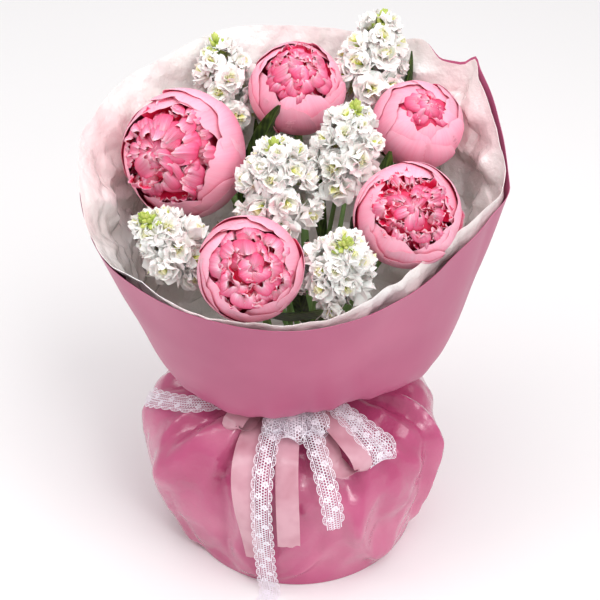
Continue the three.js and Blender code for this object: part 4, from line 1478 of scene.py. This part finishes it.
@dataclass
class FilmWrap:
    """The three film sheets: a gathered skirt, a collar round the flowers and a liner inside it."""

    skirt_neck: float = 27.75
    collar_neck: float = 26.5
    liner_neck: float = 25.25
    neck_bottom: float = 161.0
    neck_top: float = 180.0
    around: int = 320
    film: float = 0.45  # drawn thicker than the real 0.06 so that its edge shows
    collar_bulge: float = 3.0
    liner_inset: float = 3.2
    skirt_broad: tuple[Crush, ...] = (Crush(30, 4.2, 5, (1.0, 1.0, 0.5)), Crush(110, 2.4, 6, (1.0, 1.0, 0.6)))
    skirt_fine: Crush = Crush(600, 0.45, 9)
    liner_crush: tuple[Crush, ...] = (Crush(110, 0.34, 41), Crush(340, 0.42, 43), Crush(1100, 0.24, 47))
    skirt_sheet: tuple[float, float] = (0.88, 0.37)  # metres: once round, and from mid-foot to neck
    fan_sheet: tuple[float, float] = (0.95, 0.4)  # the strip that the collar's fan is cut from
    fan_area: float = 0.26  # square metres
    # Azimuth in degrees and radius: of the skirt's foot and of its widest part.
    skirt_foot: tuple = ((-90, 128), (0, 122), (90, 124), (180, 119))
    skirt_widest: tuple = ((-90, 138), (0, 142), (90, 138), (180, 152))
    # Height, and the shares of the foot's and the widest radius there. The rest is the neck's.
    skirt_profile: tuple = (
        (0, 1, 0), (36, 0.42, 0.58), (106, 0, 1), (139, 0, 0.89), (154, 0, 0.66), (160, 0, 0.3), (161, 0, 0),
    )  # fmt: skip
    skirt_top: tuple[float, float] = (170.0, 178.0)  # heights of the neck's rows, above the profile
    floor_rows: tuple = (0.02, 0.3, 0.6, 0.85, 0.97)  # radii of the flat floor's rows, share of the foot
    # Azimuth in degrees, radius and height: of the collar's rim and of the fold below it.
    collar_rim: tuple = (
        (-90, 158, 343), (-72, 154, 345), (-51, 148, 346), (-28, 153, 354), (-6, 179, 368),
        (4, 200, 383), (15, 200, 418), (26, 205, 440), (33, 209, 452), (36, 212, 459), (39, 205, 450),
        (44, 196, 450), (50, 192, 464), (62, 187, 450), (90, 181, 455), (112, 186, 450), (135, 190, 438),
        (158, 197, 424), (-176, 200, 396), (-158, 186, 353), (-141, 170, 345), (-120, 162, 343),
    )  # fmt: skip
    collar_fold: tuple = (
        (-88, 99, 200), (-59, 97, 201), (-22, 129, 204), (10, 149, 213), (90, 106, 215),
        (135, 118, 214), (180, 133, 209), (-157, 127, 204), (-108, 109, 199),
    )  # fmt: skip
    # Azimuth in degrees and millimetres: how far the liner's lip leans out, and how far it stands
    # above the collar's rim.
    lip_turn: tuple = (
        (-110, 0), (-80, -3), (-56, -9), (-40, -8), (-25, -5), (-12, -8), (0, -5), (10, 0), (60, 0),
        (120, 0), (170, 4), (-170, 4), (-150, 3.5), (-125, 1.5),
    )  # fmt: skip
    liner_rise: tuple = (
        (-90, 3), (-62, 9), (-40, 12), (-18, 11), (4, 3), (20, -1), (36, -1.5), (62, 4), (90, 10),
        (130, 14), (160, 15), (-176, 13), (-150, 7), (-120, 4),
    )  # fmt: skip

    def build(self) -> None:
        """Builds the three sheets."""
        azimuth = 2 * math.pi * np.arange(self.around) / self.around
        self._skirt(azimuth)
        self._collar(azimuth)
        self._liner(azimuth)

    def skirt_radius(self, azimuth: Array, foot_share: float, widest_share: float) -> Array:
        """Finds the skirt's radius without its pleats on one row of its profile.

        Args:
            azimuth: In radians.
            foot_share: Share of the foot's radius.
            widest_share: Share of the widest radius. The rest is the neck's.

        Returns:
            A radius for each azimuth.
        """
        return (
            foot_share * round_table(self.skirt_foot, azimuth)
            + widest_share * round_table(self.skirt_widest, azimuth)
            + (1 - foot_share - widest_share) * self.skirt_neck
        )

    def skirt_at(self, azimuth: Array, share: Array) -> Array:
        """Points on the skirt without its pleats.

        Args:
            azimuth: In radians.
            share: Of the profile, from the foot at 0 to the neck at 1.

        Returns:
            Points in millimetres.
        """
        stops = [
            np.stack([self.skirt_radius(azimuth, *shares), np.full(azimuth.shape, height)], -1)
            for height, *shares in self.skirt_profile
        ]
        here = through(np.stack(stops), np.clip(share, 0, 1) * (len(stops) - 1))
        return polar(azimuth, here[..., 0], here[..., 1])

    def _skirt(self, azimuth: Array) -> None:
        """Builds the skirt, closed and flat below and gathered at its neck.

        Args:
            azimuth: Round the bunch, in radians.
        """
        shares = np.concatenate([np.linspace(0, 0.5, 44), np.linspace(0.5, 1, 54)[1:]])
        rows = np.array([self.skirt_at(azimuth, np.full(azimuth.shape, s)) for s in shares])
        neck = [rows[-1:] * [1, 1, 0] + [0, 0, height] for height in self.skirt_top]
        rows = np.concatenate([rows, *neck])
        share = np.concatenate([shares, np.ones(len(neck))])[:, None]
        gather = smooth((share - 0.3) / 0.4) * (1 - smooth((share - 0.88) / 0.1))
        fan = 4.2 * ridge(9 * azimuth + 0.9 * np.sin(2 * azimuth)) + 2.2 * ridge(23 * azimuth + 1.1)
        broad = np.clip(sum(crush.height(rows) for crush in self.skirt_broad), -10, 7)
        calm = smooth(share / 0.08) * (1 - smooth((share - 0.93) / 0.05))
        depth = fan[None, :] * gather + (broad + self.skirt_fine.height(rows) - 2.5) * calm
        for fold in SKIRT_FOLDS:
            depth += fold.height(azimuth, share) * calm
        outer = rows + grid_normals(rows) * depth[..., None]
        outer[0, :, 2] = 0.0
        outer = np.concatenate([[outer[0] * share for share in self.floor_rows], outer])
        skirt = film_piece("skirt", outer, self.film, Finish.SKIRT_FILM, len(self.floor_rows), sharp=28)
        settle(skirt, "skirt_film", "skirt_film")

    def collar_rows(self, azimuth: Array, neck: float, count: tuple[int, int]) -> Array:
        """Rows of points up the collar's outer face.

        Args:
            azimuth: Round the bunch, in radians.
            neck: Radius of its neck.
            count: Rows up to the fold and above it.

        Returns:
            Rows, from the bottom of the neck to the rim.
        """
        fold, fold_height = (round_table(self.collar_fold, azimuth, k) for k in (1, 2))
        rim, rim_height = (round_table(self.collar_rim, azimuth, k) for k in (1, 2))
        stops = (
            (neck, self.neck_bottom),
            (neck, self.neck_top),
            (blend_values(neck, fold, 0.55), blend_values(self.neck_top, fold_height, 0.35)),
            (fold, fold_height),
            ((fold + rim) / 2 + self.collar_bulge, (fold_height + rim_height) / 2),
            (rim, rim_height),
        )
        places = np.array([polar(azimuth, radius, height) for radius, height in stops])
        at = np.concatenate([np.linspace(0, 3, count[0]), np.linspace(3, 5, count[1])[1:]])
        return through(places, np.repeat(at[:, None], len(azimuth), axis=1))

    def _collar(self, azimuth: Array) -> None:
        """Builds the collar: smooth, with a few long soft waves.

        Args:
            azimuth: Round the bunch, in radians.
        """
        rows = self.collar_rows(azimuth, self.collar_neck, (26, 56))
        up = np.linspace(0, 1, len(rows))[:, None]
        gather = smooth(up / 0.16) * (1 - smooth((up - 0.2) / 0.25))
        fan = 1.6 * ridge(14 * azimuth) + 1.0 * ridge(31 * azimuth + 0.7)
        wave = creases(rows, 150, 31, 3) * 0.9 + creases(rows, 60, 33, 4) * 0.25
        depth = fan[None, :] * gather + wave * smooth((up - 0.3) / 0.3)
        outer = rows + grid_normals(rows) * depth[..., None]
        collar = film_piece("collar", outer, self.film, Finish.COLLAR_FILM)
        settle(collar, "collar_film", "collar_film")

    def _liner(self, azimuth: Array) -> None:
        """Builds the liner: crumpled all over, its edge standing above the collar's.

        Args:
            azimuth: Round the bunch, in radians.
        """
        rows = self.collar_rows(azimuth, self.liner_neck, (20, 76))
        up = np.linspace(0, 1, len(rows))[:, None]
        crushed = sum(crush.height(rows) for crush in self.liner_crush)
        hug = 1 - 0.85 * smooth((up - 0.82) / 0.18)  # near the rim it lies close to the collar
        crumples = (6.5 + 7.5 * np.clip(crushed, -0.85, 1.2)) * smooth((up - 0.1) / 0.2)
        inset = (self.liner_inset * smooth(up / 0.1) + crumples) * hug
        lip = (1.1 + 1.5 * np.clip(crushed, -0.6, 1.6)) * smooth((up - 0.75) / 0.2)
        outer = rows - grid_normals(rows) * (inset + lip)[..., None]
        turned = np.clip((up - 0.9) / 0.1, 0, 1) ** 1.5 * round_table(self.lip_turn, azimuth)
        outer += polar(azimuth, 1.0) * turned[..., None]
        outer[..., 2] += round_table(self.liner_rise, azimuth) * smooth((up - 0.8) / 0.2)
        outer[..., 2] += 1.4 * np.sin(7 * azimuth) * smooth((up - 0.85) / 0.15)
        liner = film_piece("liner", outer, self.film, Finish.LINER_FILM, sharp=20)
        settle(liner, "liner_film", "liner_film")


def grid_normals(rows: Array) -> Array:
    """Finds the outward normals of rows of points.

    Args:
        rows: Rows that run right round an object.

    Returns:
        A normal for each point.
    """
    across = np.roll(rows, -1, axis=1) - np.roll(rows, 1, axis=1)
    along = np.gradient(rows, axis=0)
    return unit(np.cross(across, along))


def film_piece(
    name: str, outer: Array, thickness: float, finish: Finish, floor_rows: int = 0, sharp: float = 35
) -> bpy.types.Object:
    """Makes a closed thin sheet from rows of points that run right round.

    Args:
        name: The piece's name.
        outer: Rows of points on its outer face, in millimetres.
        thickness: In millimetres.
        finish: What it is made of.
        floor_rows: How many of its first rows lie flat, with a small cap in their middle. With
            none, the sheet is open there.
        sharp: Degrees from which a crease shows as a hard line.

    Returns:
        The new object.
    """
    inner = outer - grid_normals(outer) * thickness
    if floor_rows:
        inner[:floor_rows] = outer[:floor_rows] + [0, 0, thickness]
        inner[floor_rows] = outer[floor_rows] * [0.995, 0.995, 1] + [0, 0, thickness]
    number, onward, walls = tube_faces(*outer.shape[:2])
    back = number.size
    faces = [walls, walls[:, ::-1] + back]
    faces.append(np.stack([number[-1], onward[-1], onward[-1] + back, number[-1] + back], -1))
    caps: list[list[int]] = []
    if floor_rows:
        caps = [number[0][::-1].tolist(), (number[0] + back).tolist()]
    else:
        faces.append(np.stack([onward[0], number[0], number[0] + back, onward[0] + back], -1))
    mesh = bpy.data.meshes.new(name)
    points = np.concatenate([outer.reshape(-1, 3), inner.reshape(-1, 3)]) * MM
    mesh.from_pydata(points.tolist(), [], np.concatenate(faces).tolist() + caps)
    return finish_mesh(mesh, name, finish, sharp)


# ---- ribbons


@dataclass(frozen=True)
class RibbonRun:
    """A tail or a loop of a ribbon, laid out over the skirt's shoulder."""

    start: float  # azimuth at the neck, in degrees
    end: float
    share: float  # of the skirt's profile where it ends: 0 is the foot, 1 the neck
    lift: tuple[float, float]  # height above the film at its start and end
    spread: float = 0.0  # between a loop's two layers; none for a tail
    back: float = 0.0  # degrees between a loop's way out and its way back
    on_ground: float = 0.0  # how far it goes on along the ground


@dataclass(frozen=True)
class Track:
    """A ribbon's middle line at even steps: where it is, its side, its upper face and its length."""

    at: Array
    side: Array
    face: Array
    run: Array

    @classmethod
    def lay(cls, places: Sequence[Array], faces: Sequence[Array], step: float) -> Track:
        """Lays a smooth track through places.

        Args:
            places: Points in millimetres.
            faces: The direction of the ribbon's upper face at each.
            step: Distance between the track's points.

        Returns:
            The track.
        """
        places, faces = np.array(places), np.array(faces)
        dense = np.linspace(0, len(places) - 1, 40 * len(places))
        line = through(places, dense)
        length = travelled(line)
        run = np.linspace(0, length[-1], max(4, round(length[-1] / step)))
        where = np.interp(run, length, dense)
        at = through(places, where)
        face = unit(through(faces, where))
        along = unit(np.gradient(at, axis=0))
        side = unit(np.cross(along, face))
        return cls(at, side, np.cross(side, along), run)

    def points(self, run: Array, across: Array, above: Array | float = 0.0) -> Array:
        """Points on the ribbon.

        Args:
            run: Distance along it.
            across: Distance from its middle line, in millimetres.
            above: Height over its face.

        Returns:
            Points in the bunch's frame.
        """
        at, side, face = (
            np.stack([np.interp(run, self.run, values[:, k]) for k in range(3)], -1)
            for values in (self.at, self.side, self.face)
        )
        return at + side * np.asarray(across)[..., None] + face * np.asarray(above)[..., None]


@dataclass
class RibbonBow:
    """One ribbon: a band and knot round the neck, its tails and its loops."""

    name: str
    wrap: FilmWrap
    width: float
    band: tuple[float, float]  # heights of the turn round the neck
    knot: float  # azimuth in degrees
    tails: tuple[RibbonRun, ...]
    loops: tuple[RibbonRun, ...]
    openwork: bool
    band_radius: float = 29.2
    knot_depth: float = 7.0
    knot_length: float = 70.0  # ribbon that the knot takes up
    pleat_room: float = 6.5  # height over the skirt that its pleats need
    neck_share: float = 0.92  # of the skirt's profile where tails and loops leave the neck
    ground_gap: float = 1.5
    thickness: float = 0.35
    thread_share: float = 0.75  # of the lace's area that is thread

    @classmethod
    def satin(cls, wrap: FilmWrap) -> RibbonBow:
        """Lays out the satin ribbon.

        Args:
            wrap: What it is tied round.

        Returns:
            The ribbon.
        """
        tails = (
            RibbonRun(-96, -93, 0.25, (2, 1.5)),
            RibbonRun(-122, -106, 0.2, (2, 1.5)),
        )
        loops = (
            RibbonRun(-72, -63, 0.55, (2, 2), spread=8, back=-10),
            RibbonRun(-129, -127, 0.72, (4, 5), spread=6, back=4),
        )
        return cls("satin", wrap, 22, (162, 169.5), -95, tails, loops, openwork=False)

    @classmethod
    def lace(cls, wrap: FilmWrap) -> RibbonBow:
        """Lays out the lace ribbon.

        Args:
            wrap: What it is tied round.

        Returns:
            The ribbon.
        """
        tails = (
            RibbonRun(-106, -101, 0.02, (10, 5), on_ground=22),
            RibbonRun(-84, -76, 0.3, (10, 4.5)),
            RibbonRun(-126, -180, 0.46, (10, 3)),
        )
        loops = (
            RibbonRun(-63, -55, 0.55, (10, 3), spread=6, back=9),
            RibbonRun(-100, -104, 0.74, (12, 8), spread=8, back=9),
            RibbonRun(-92, -91, 0.71, (15, 10), spread=9, back=-7),
            RibbonRun(-82, -77, 0.74, (12, 8), spread=8, back=-9),
        )
        return cls("lace", wrap, 21, (170.5, 178), -92, tails, loops, openwork=True)

    def over_skirt(self, azimuth: float, share: float, lift: float) -> tuple[Array, Array]:
        """Finds a place over the skirt.

        Args:
            azimuth: In radians.
            share: Of the skirt's profile.
            lift: How far over its pleats, square to its surface.

        Returns:
            The place, and the way it is lifted.
        """
        here, above, below = (
            self.wrap.skirt_at(np.array(azimuth), np.array(np.clip(share + step, 0, 1)))
            for step in (0, 0.02, -0.02)
        )
        normal = np.cross(polar(azimuth + math.pi / 2, 1), unit(above - below))
        place = here + normal * (lift + self.pleat_room * min(1, 4 * (1 - share)))
        place[2] = max(place[2], self.ground_gap)
        return place, normal

    def knot_centre(self) -> Array:
        """Returns the middle of the knot."""
        radius = self.band_radius + self.knot_depth / 2
        return polar(math.radians(self.knot), radius, sum(self.band) / 2)

    def run_line(self, run: RibbonRun, raised: float, steps: int) -> list[tuple[Array, Array]]:
        """Lays out places over the skirt from the neck to a run's end.

        Args:
            run: The tail or the loop.
            raised: Height on top of the run's own lift.
            steps: How many steps it takes.

        Returns:
            Each place, and the way that its face looks.
        """
        return [
            self.over_skirt(
                math.radians(blend_values(run.start, run.end, v)),
                blend_values(self.neck_share, run.share, v),
                blend_values(*run.lift, v) + raised,
            )
            for v in np.linspace(0, 1, steps + 1)
        ]

    def track(self, run: RibbonRun, step: float) -> Track:
        """Lays a tail's or a loop's track.

        Args:
            run: The tail or the loop.
            step: Distance between the track's points.

        Returns:
            The track, from the knot, and back to it on a loop.
        """
        centre = self.knot_centre()
        if not run.spread:
            line = [(centre, UP), *self.run_line(run, 0, 9)]
            if run.on_ground:
                place = line[-1][0] * [1, 1, 0] + [0, 0, 1.0]
                line.append((place + polar(math.radians(run.end), run.on_ground), UP))
        else:
            end = math.radians(run.end)
            turn, _ = self.over_skirt(end, run.share - 0.04, run.lift[1] + run.spread / 2)
            back, _ = self.over_skirt(end, run.share + 0.04, run.lift[1])
            home = replace(run, start=run.start + run.back / 2, end=run.end + run.back)
            under = [(place, -face) for place, face in reversed(self.run_line(home, 0, 5))]
            line = [
                (centre + UP * 1.5, UP),
                *self.run_line(run, run.spread + 2, 5),
                (turn, unit(turn - back)),
                *under,
                (centre - UP * 1.5, -UP),
            ]
        return Track.lay([place for place, _ in line], [face for _, face in line], step)

    def narrowing(self, track: Track, run: Array, is_loop: bool) -> Array:
        """Returns the share of its width that the ribbon has where the knot gathers it."""
        room = np.minimum(run, track.run[-1] - run) if is_loop else run
        return 0.3 + 0.7 * smooth(room / min(42, 0.4 * track.run[-1]))

    def build(self) -> None:
        """Builds the ribbon in one piece."""
        sheaf = Sheaf()
        length = 2 * math.pi * self.band_radius + self.knot_length
        for number, run in enumerate((*self.tails, *self.loops)):
            is_loop = run.spread > 0
            track = self.track(run, 3.0)
            length += track.run[-1]
            if self.openwork:
                LacePattern(track, self.width / 2, lambda at: self.narrowing(track, at, is_loop)).work(sheaf)
            else:
                self.satin_strip(sheaf, track, is_loop, number)
        self.band_and_knot(sheaf)
        finish = Finish.LACE if self.openwork else Finish.SATIN
        piece = sheaf.build(f"{self.name}_bow", finish)
        settle(piece, self.name, f"{self.name}_ribbon")
        LOG.info("%s: %.0f mm of ribbon", self.name, length)

    def satin_strip(self, sheaf: Sheaf, track: Track, is_loop: bool, number: int) -> None:
        """Adds a strip of satin with soft waves, pleated where the knot gathers it.

        Args:
            sheaf: Takes it.
            track: Its middle line.
            is_loop: Whether both of its ends go to the knot.
            number: Sets its waves apart from those of the other strips.
        """
        mould = Mould.cut(12, max(24, round(track.run[-1] / 2.5)))
        u, run = mould.u, mould.v * track.run[-1]
        width = self.narrowing(track, run, is_loop)
        gathered = (1 - width) / 0.7
        wave = 1.5 * np.sin(run / 19 + number) * u + 1.3 * np.sin(run / 27 + 2 * number) + 0.8 * (1 - u * u)
        above = 1.6 * gathered * ridge(6.5 * u + number) + wave * (1 - gathered)
        if not is_loop:
            frayed = 1.4 * np.sin(31 * u + number) + 2.2 * u
            run = run + frayed * (mould.v > 0.999)
        sheaf.add(mould, track.points(run, self.width / 2 * width * u, above + 0.6), self.thickness)

    def band_and_knot(self, sheaf: Sheaf) -> None:
        """Adds the turn round the neck and the crossed folds of the knot.

        Args:
            sheaf: Takes them.
        """
        low, high = self.band
        knot = math.radians(self.knot)
        steps = 96
        angle = np.linspace(0, 2 * math.pi, steps + 1)
        middle = polar(knot + angle, self.band_radius, (low + high) / 2)
        faces = polar(knot + angle, 1.0)
        band = Track(middle, np.tile(UP, (len(angle), 1)), faces, angle * self.band_radius)
        mould = Mould.cut(8, steps)
        pleat = 0.5 * ridge(5.2 * mould.u + 0.5 * np.sin(9 * mould.v * math.pi))
        points = band.points(mould.v * band.run[-1], (high - low) / 2 * mould.u, pleat + 0.4)
        sheaf.add(mould, points, self.thickness)
        out, level = polar(knot, 1), polar(knot + math.pi / 2, 1)
        mould = Mould.cut(10, 30)
        for number, (tilt, size) in enumerate(((0.0, 1.0), (0.5, 0.86), (-0.55, 0.8))):
            axis = circle(level, UP, tilt)
            radius = size * (4.2 + 0.5 * ridge(7 * mould.u + number))
            hoop = circle(out, 0.95 * np.cross(axis, out), 2 * math.pi * mould.v) * radius[:, None]
            place = self.knot_centre() + hoop + axis * (7.5 * size * mould.u)[:, None]
            sheaf.add(mould, place, self.thickness)


@dataclass(frozen=True)
class LacePattern:
    """Openwork of thread on a track: scalloped edges, cords, a diagonal net and small flowers."""

    track: Track
    half: float
    narrowing: Callable[[Array], Array]
    repeat: float = 11.5  # one scallop, in millimetres
    border: float = 3.6
    thread: float = 0.55  # drawn thicker than the real 0.3 so that it shows

    def work(self, sheaf: Sheaf) -> None:
        """Adds all threads.

        Args:
            sheaf: Takes them.
        """
        length = self.track.run[-1]
        inner = self.half - self.border
        long_run = np.arange(0, length, 3.0)
        for across, wide in ((-inner, 1.4), (inner, 1.4), (0.0, 1.6)):
            self.stitch(sheaf, long_run, np.full(long_run.shape, across), wide)
        arc = np.linspace(0, math.pi, 7)
        hoop = np.linspace(0, 2 * math.pi, 7)
        for start in np.arange(0, length - self.repeat, self.repeat):
            for way in (-1, 1):
                run = start + self.repeat * (1 - np.cos(arc)) / 2
                self.stitch(sheaf, run, way * (inner + self.border * np.sin(arc) ** 0.8), 1.1)
                self.stitch(sheaf, run, way * (inner + 0.55 * self.border * np.sin(arc)), 0.6)
                for share in (0.25, 0.5, 0.75):
                    spoke = np.full(2, start + share * self.repeat)
                    reach = inner + self.border * math.sin(math.pi * share)
                    self.stitch(sheaf, spoke, way * np.array([inner, reach]), 0.5)
            way = 1 if round(start / self.repeat) % 2 else -1
            for turn in round_steps(5):
                run = start + self.repeat / 2 + 2.1 * np.cos(turn) + 0.8 * np.cos(hoop)
                across = way * inner * 0.5 + 2.1 * np.sin(turn) + 0.8 * np.sin(hoop)
                self.stitch(sheaf, run, across, 1.9)
        step = self.repeat / 4
        for row, across in enumerate(np.linspace(-inner, inner, 6)[1:-1]):
            for start in np.arange(step * (0.5 + 0.5 * (row % 2)), length, step):
                run = start + 0.5 * step * np.cos(hoop)
                self.stitch(sheaf, run, across + 0.5 * step * np.sin(hoop), 0.9)

    def stitch(self, sheaf: Sheaf, run: Array, across: Array, wide: float) -> None:
        """Adds one flat thread through points of the pattern.

        Args:
            sheaf: Takes it.
            run: How far along the ribbon each point is.
            across: How far off its middle line.
            wide: The thread's width, in threads.
        """
        run = np.clip(run, 0, self.track.run[-1])
        along = unit(np.stack([np.gradient(run), np.gradient(across)], -1))
        half = self.thread * wide / 2
        corners = []
        for edge, above in ((-1, 0.3), (1, 0.3), (1, 0.0), (-1, 0.0)):
            place, offset = run - edge * half * along[:, 1], across + edge * half * along[:, 0]
            above_film = 0.6 + above + 0.7 * np.sin(run / 13) * np.clip(across / self.half, -1, 1)
            corners.append(self.track.points(place, offset * self.narrowing(place), above_film))
        sheaf.add_rings(np.stack(corners, axis=1))


# ---- studio


@dataclass
class Studio:
    """The pale floor, the soft lights and the camera at the photo's angle."""

    camera_place: tuple[float, float, float] = (0.003, -1.3233, 1.2464)
    camera_pitch: float = 36.7  # degrees below the horizon
    lens: float = 102.0  # millimetres, on a sensor 36 wide
    floor_size: float = 8.0
    softboxes: tuple = (  # name, place in metres and side in metres
        ("top", (0.0, -0.1, 1.45), 1.0),
        ("key", (0.7, -1.5, 1.5), 0.5),
        ("left", (-1.1, -0.3, 1.7), 0.8),
    )
    softbox_power: float = 7.0  # watts
    lit_height: float = 0.32  # where the softboxes point, above the foot
    window_strength: float = 0.95  # watts per square metre
    room_strength: float = 0.66

    def build(self) -> None:
        """Builds it all."""
        self._camera()
        self._floor()
        for name, place, side in self.softboxes:
            self._softbox(name, place, side)
        sun = bpy.data.lights.new("window", "SUN")
        sun.energy = self.window_strength
        sun.angle = math.radians(38)
        window = bpy.data.objects.new("window", sun)
        window.rotation_euler = Vector((0.55, -0.5, 1.0)).to_track_quat("Z", "Y").to_euler()
        bpy.context.scene.collection.objects.link(window)
        world = bpy.data.worlds.new("studio")
        world.use_nodes = True
        background = world.node_tree.nodes["Background"]
        background.inputs["Color"].default_value = linear("f6f4f5")
        background.inputs["Strength"].default_value = self.room_strength
        bpy.context.scene.world = world

    def _camera(self) -> None:
        """Adds the camera."""
        bpy.context.scene.view_settings.view_transform = "Standard"
        data = bpy.data.cameras.new("camera")
        data.sensor_width = 36.0
        data.lens = self.lens
        camera = bpy.data.objects.new("camera", data)
        camera.location = self.camera_place
        camera.rotation_euler = (math.radians(90 - self.camera_pitch), 0, 0)
        bpy.context.scene.collection.objects.link(camera)
        bpy.context.scene.camera = camera

    def _floor(self) -> None:
        """Adds the plain pale floor."""
        deselect()
        bpy.ops.mesh.primitive_plane_add(size=self.floor_size, location=(0, 0, -0.0005))
        floor = bpy.context.object
        floor.name = "floor"
        material, _, _ = new_material("pale floor", {"Base Color": linear("f2f1f1"), "Roughness": 0.6})
        floor.data.materials.append(material)

    def _softbox(self, name: str, place: tuple[float, float, float], side: float) -> None:
        """Adds a square light that faces the flowers.

        Args:
            name: Its name.
            place: Where it hangs, in metres.
            side: Its width and height, in metres.
        """
        data = bpy.data.lights.new(name, "AREA")
        data.shape = "SQUARE"
        data.size = side
        data.energy = self.softbox_power
        light = bpy.data.objects.new(name, data)
        light.location = place
        aim = Vector((0, 0, self.lit_height)) - Vector(place)
        light.rotation_euler = aim.to_track_quat("-Z", "Y").to_euler()
        bpy.context.scene.collection.objects.link(light)


def main() -> None:
    """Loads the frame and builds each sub-assembly."""
    logging.basicConfig(level=logging.INFO, format="%(message)s")
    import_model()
    Studio().build()
    for flower in (*PEONIES, *STOCKS):
        flower.build()
    StemSpiral().build(PEONIES, STOCKS)
    wrap = FilmWrap()
    wrap.build()
    tie = bpy.data.objects["stem_tie"]
    tie.data.materials.clear()
    tie.data.materials.append(Finish.TWINE.material())
    RibbonBow.satin(wrap).build()
    RibbonBow.lace(wrap).build()


if __name__ == "__main__":
    main()
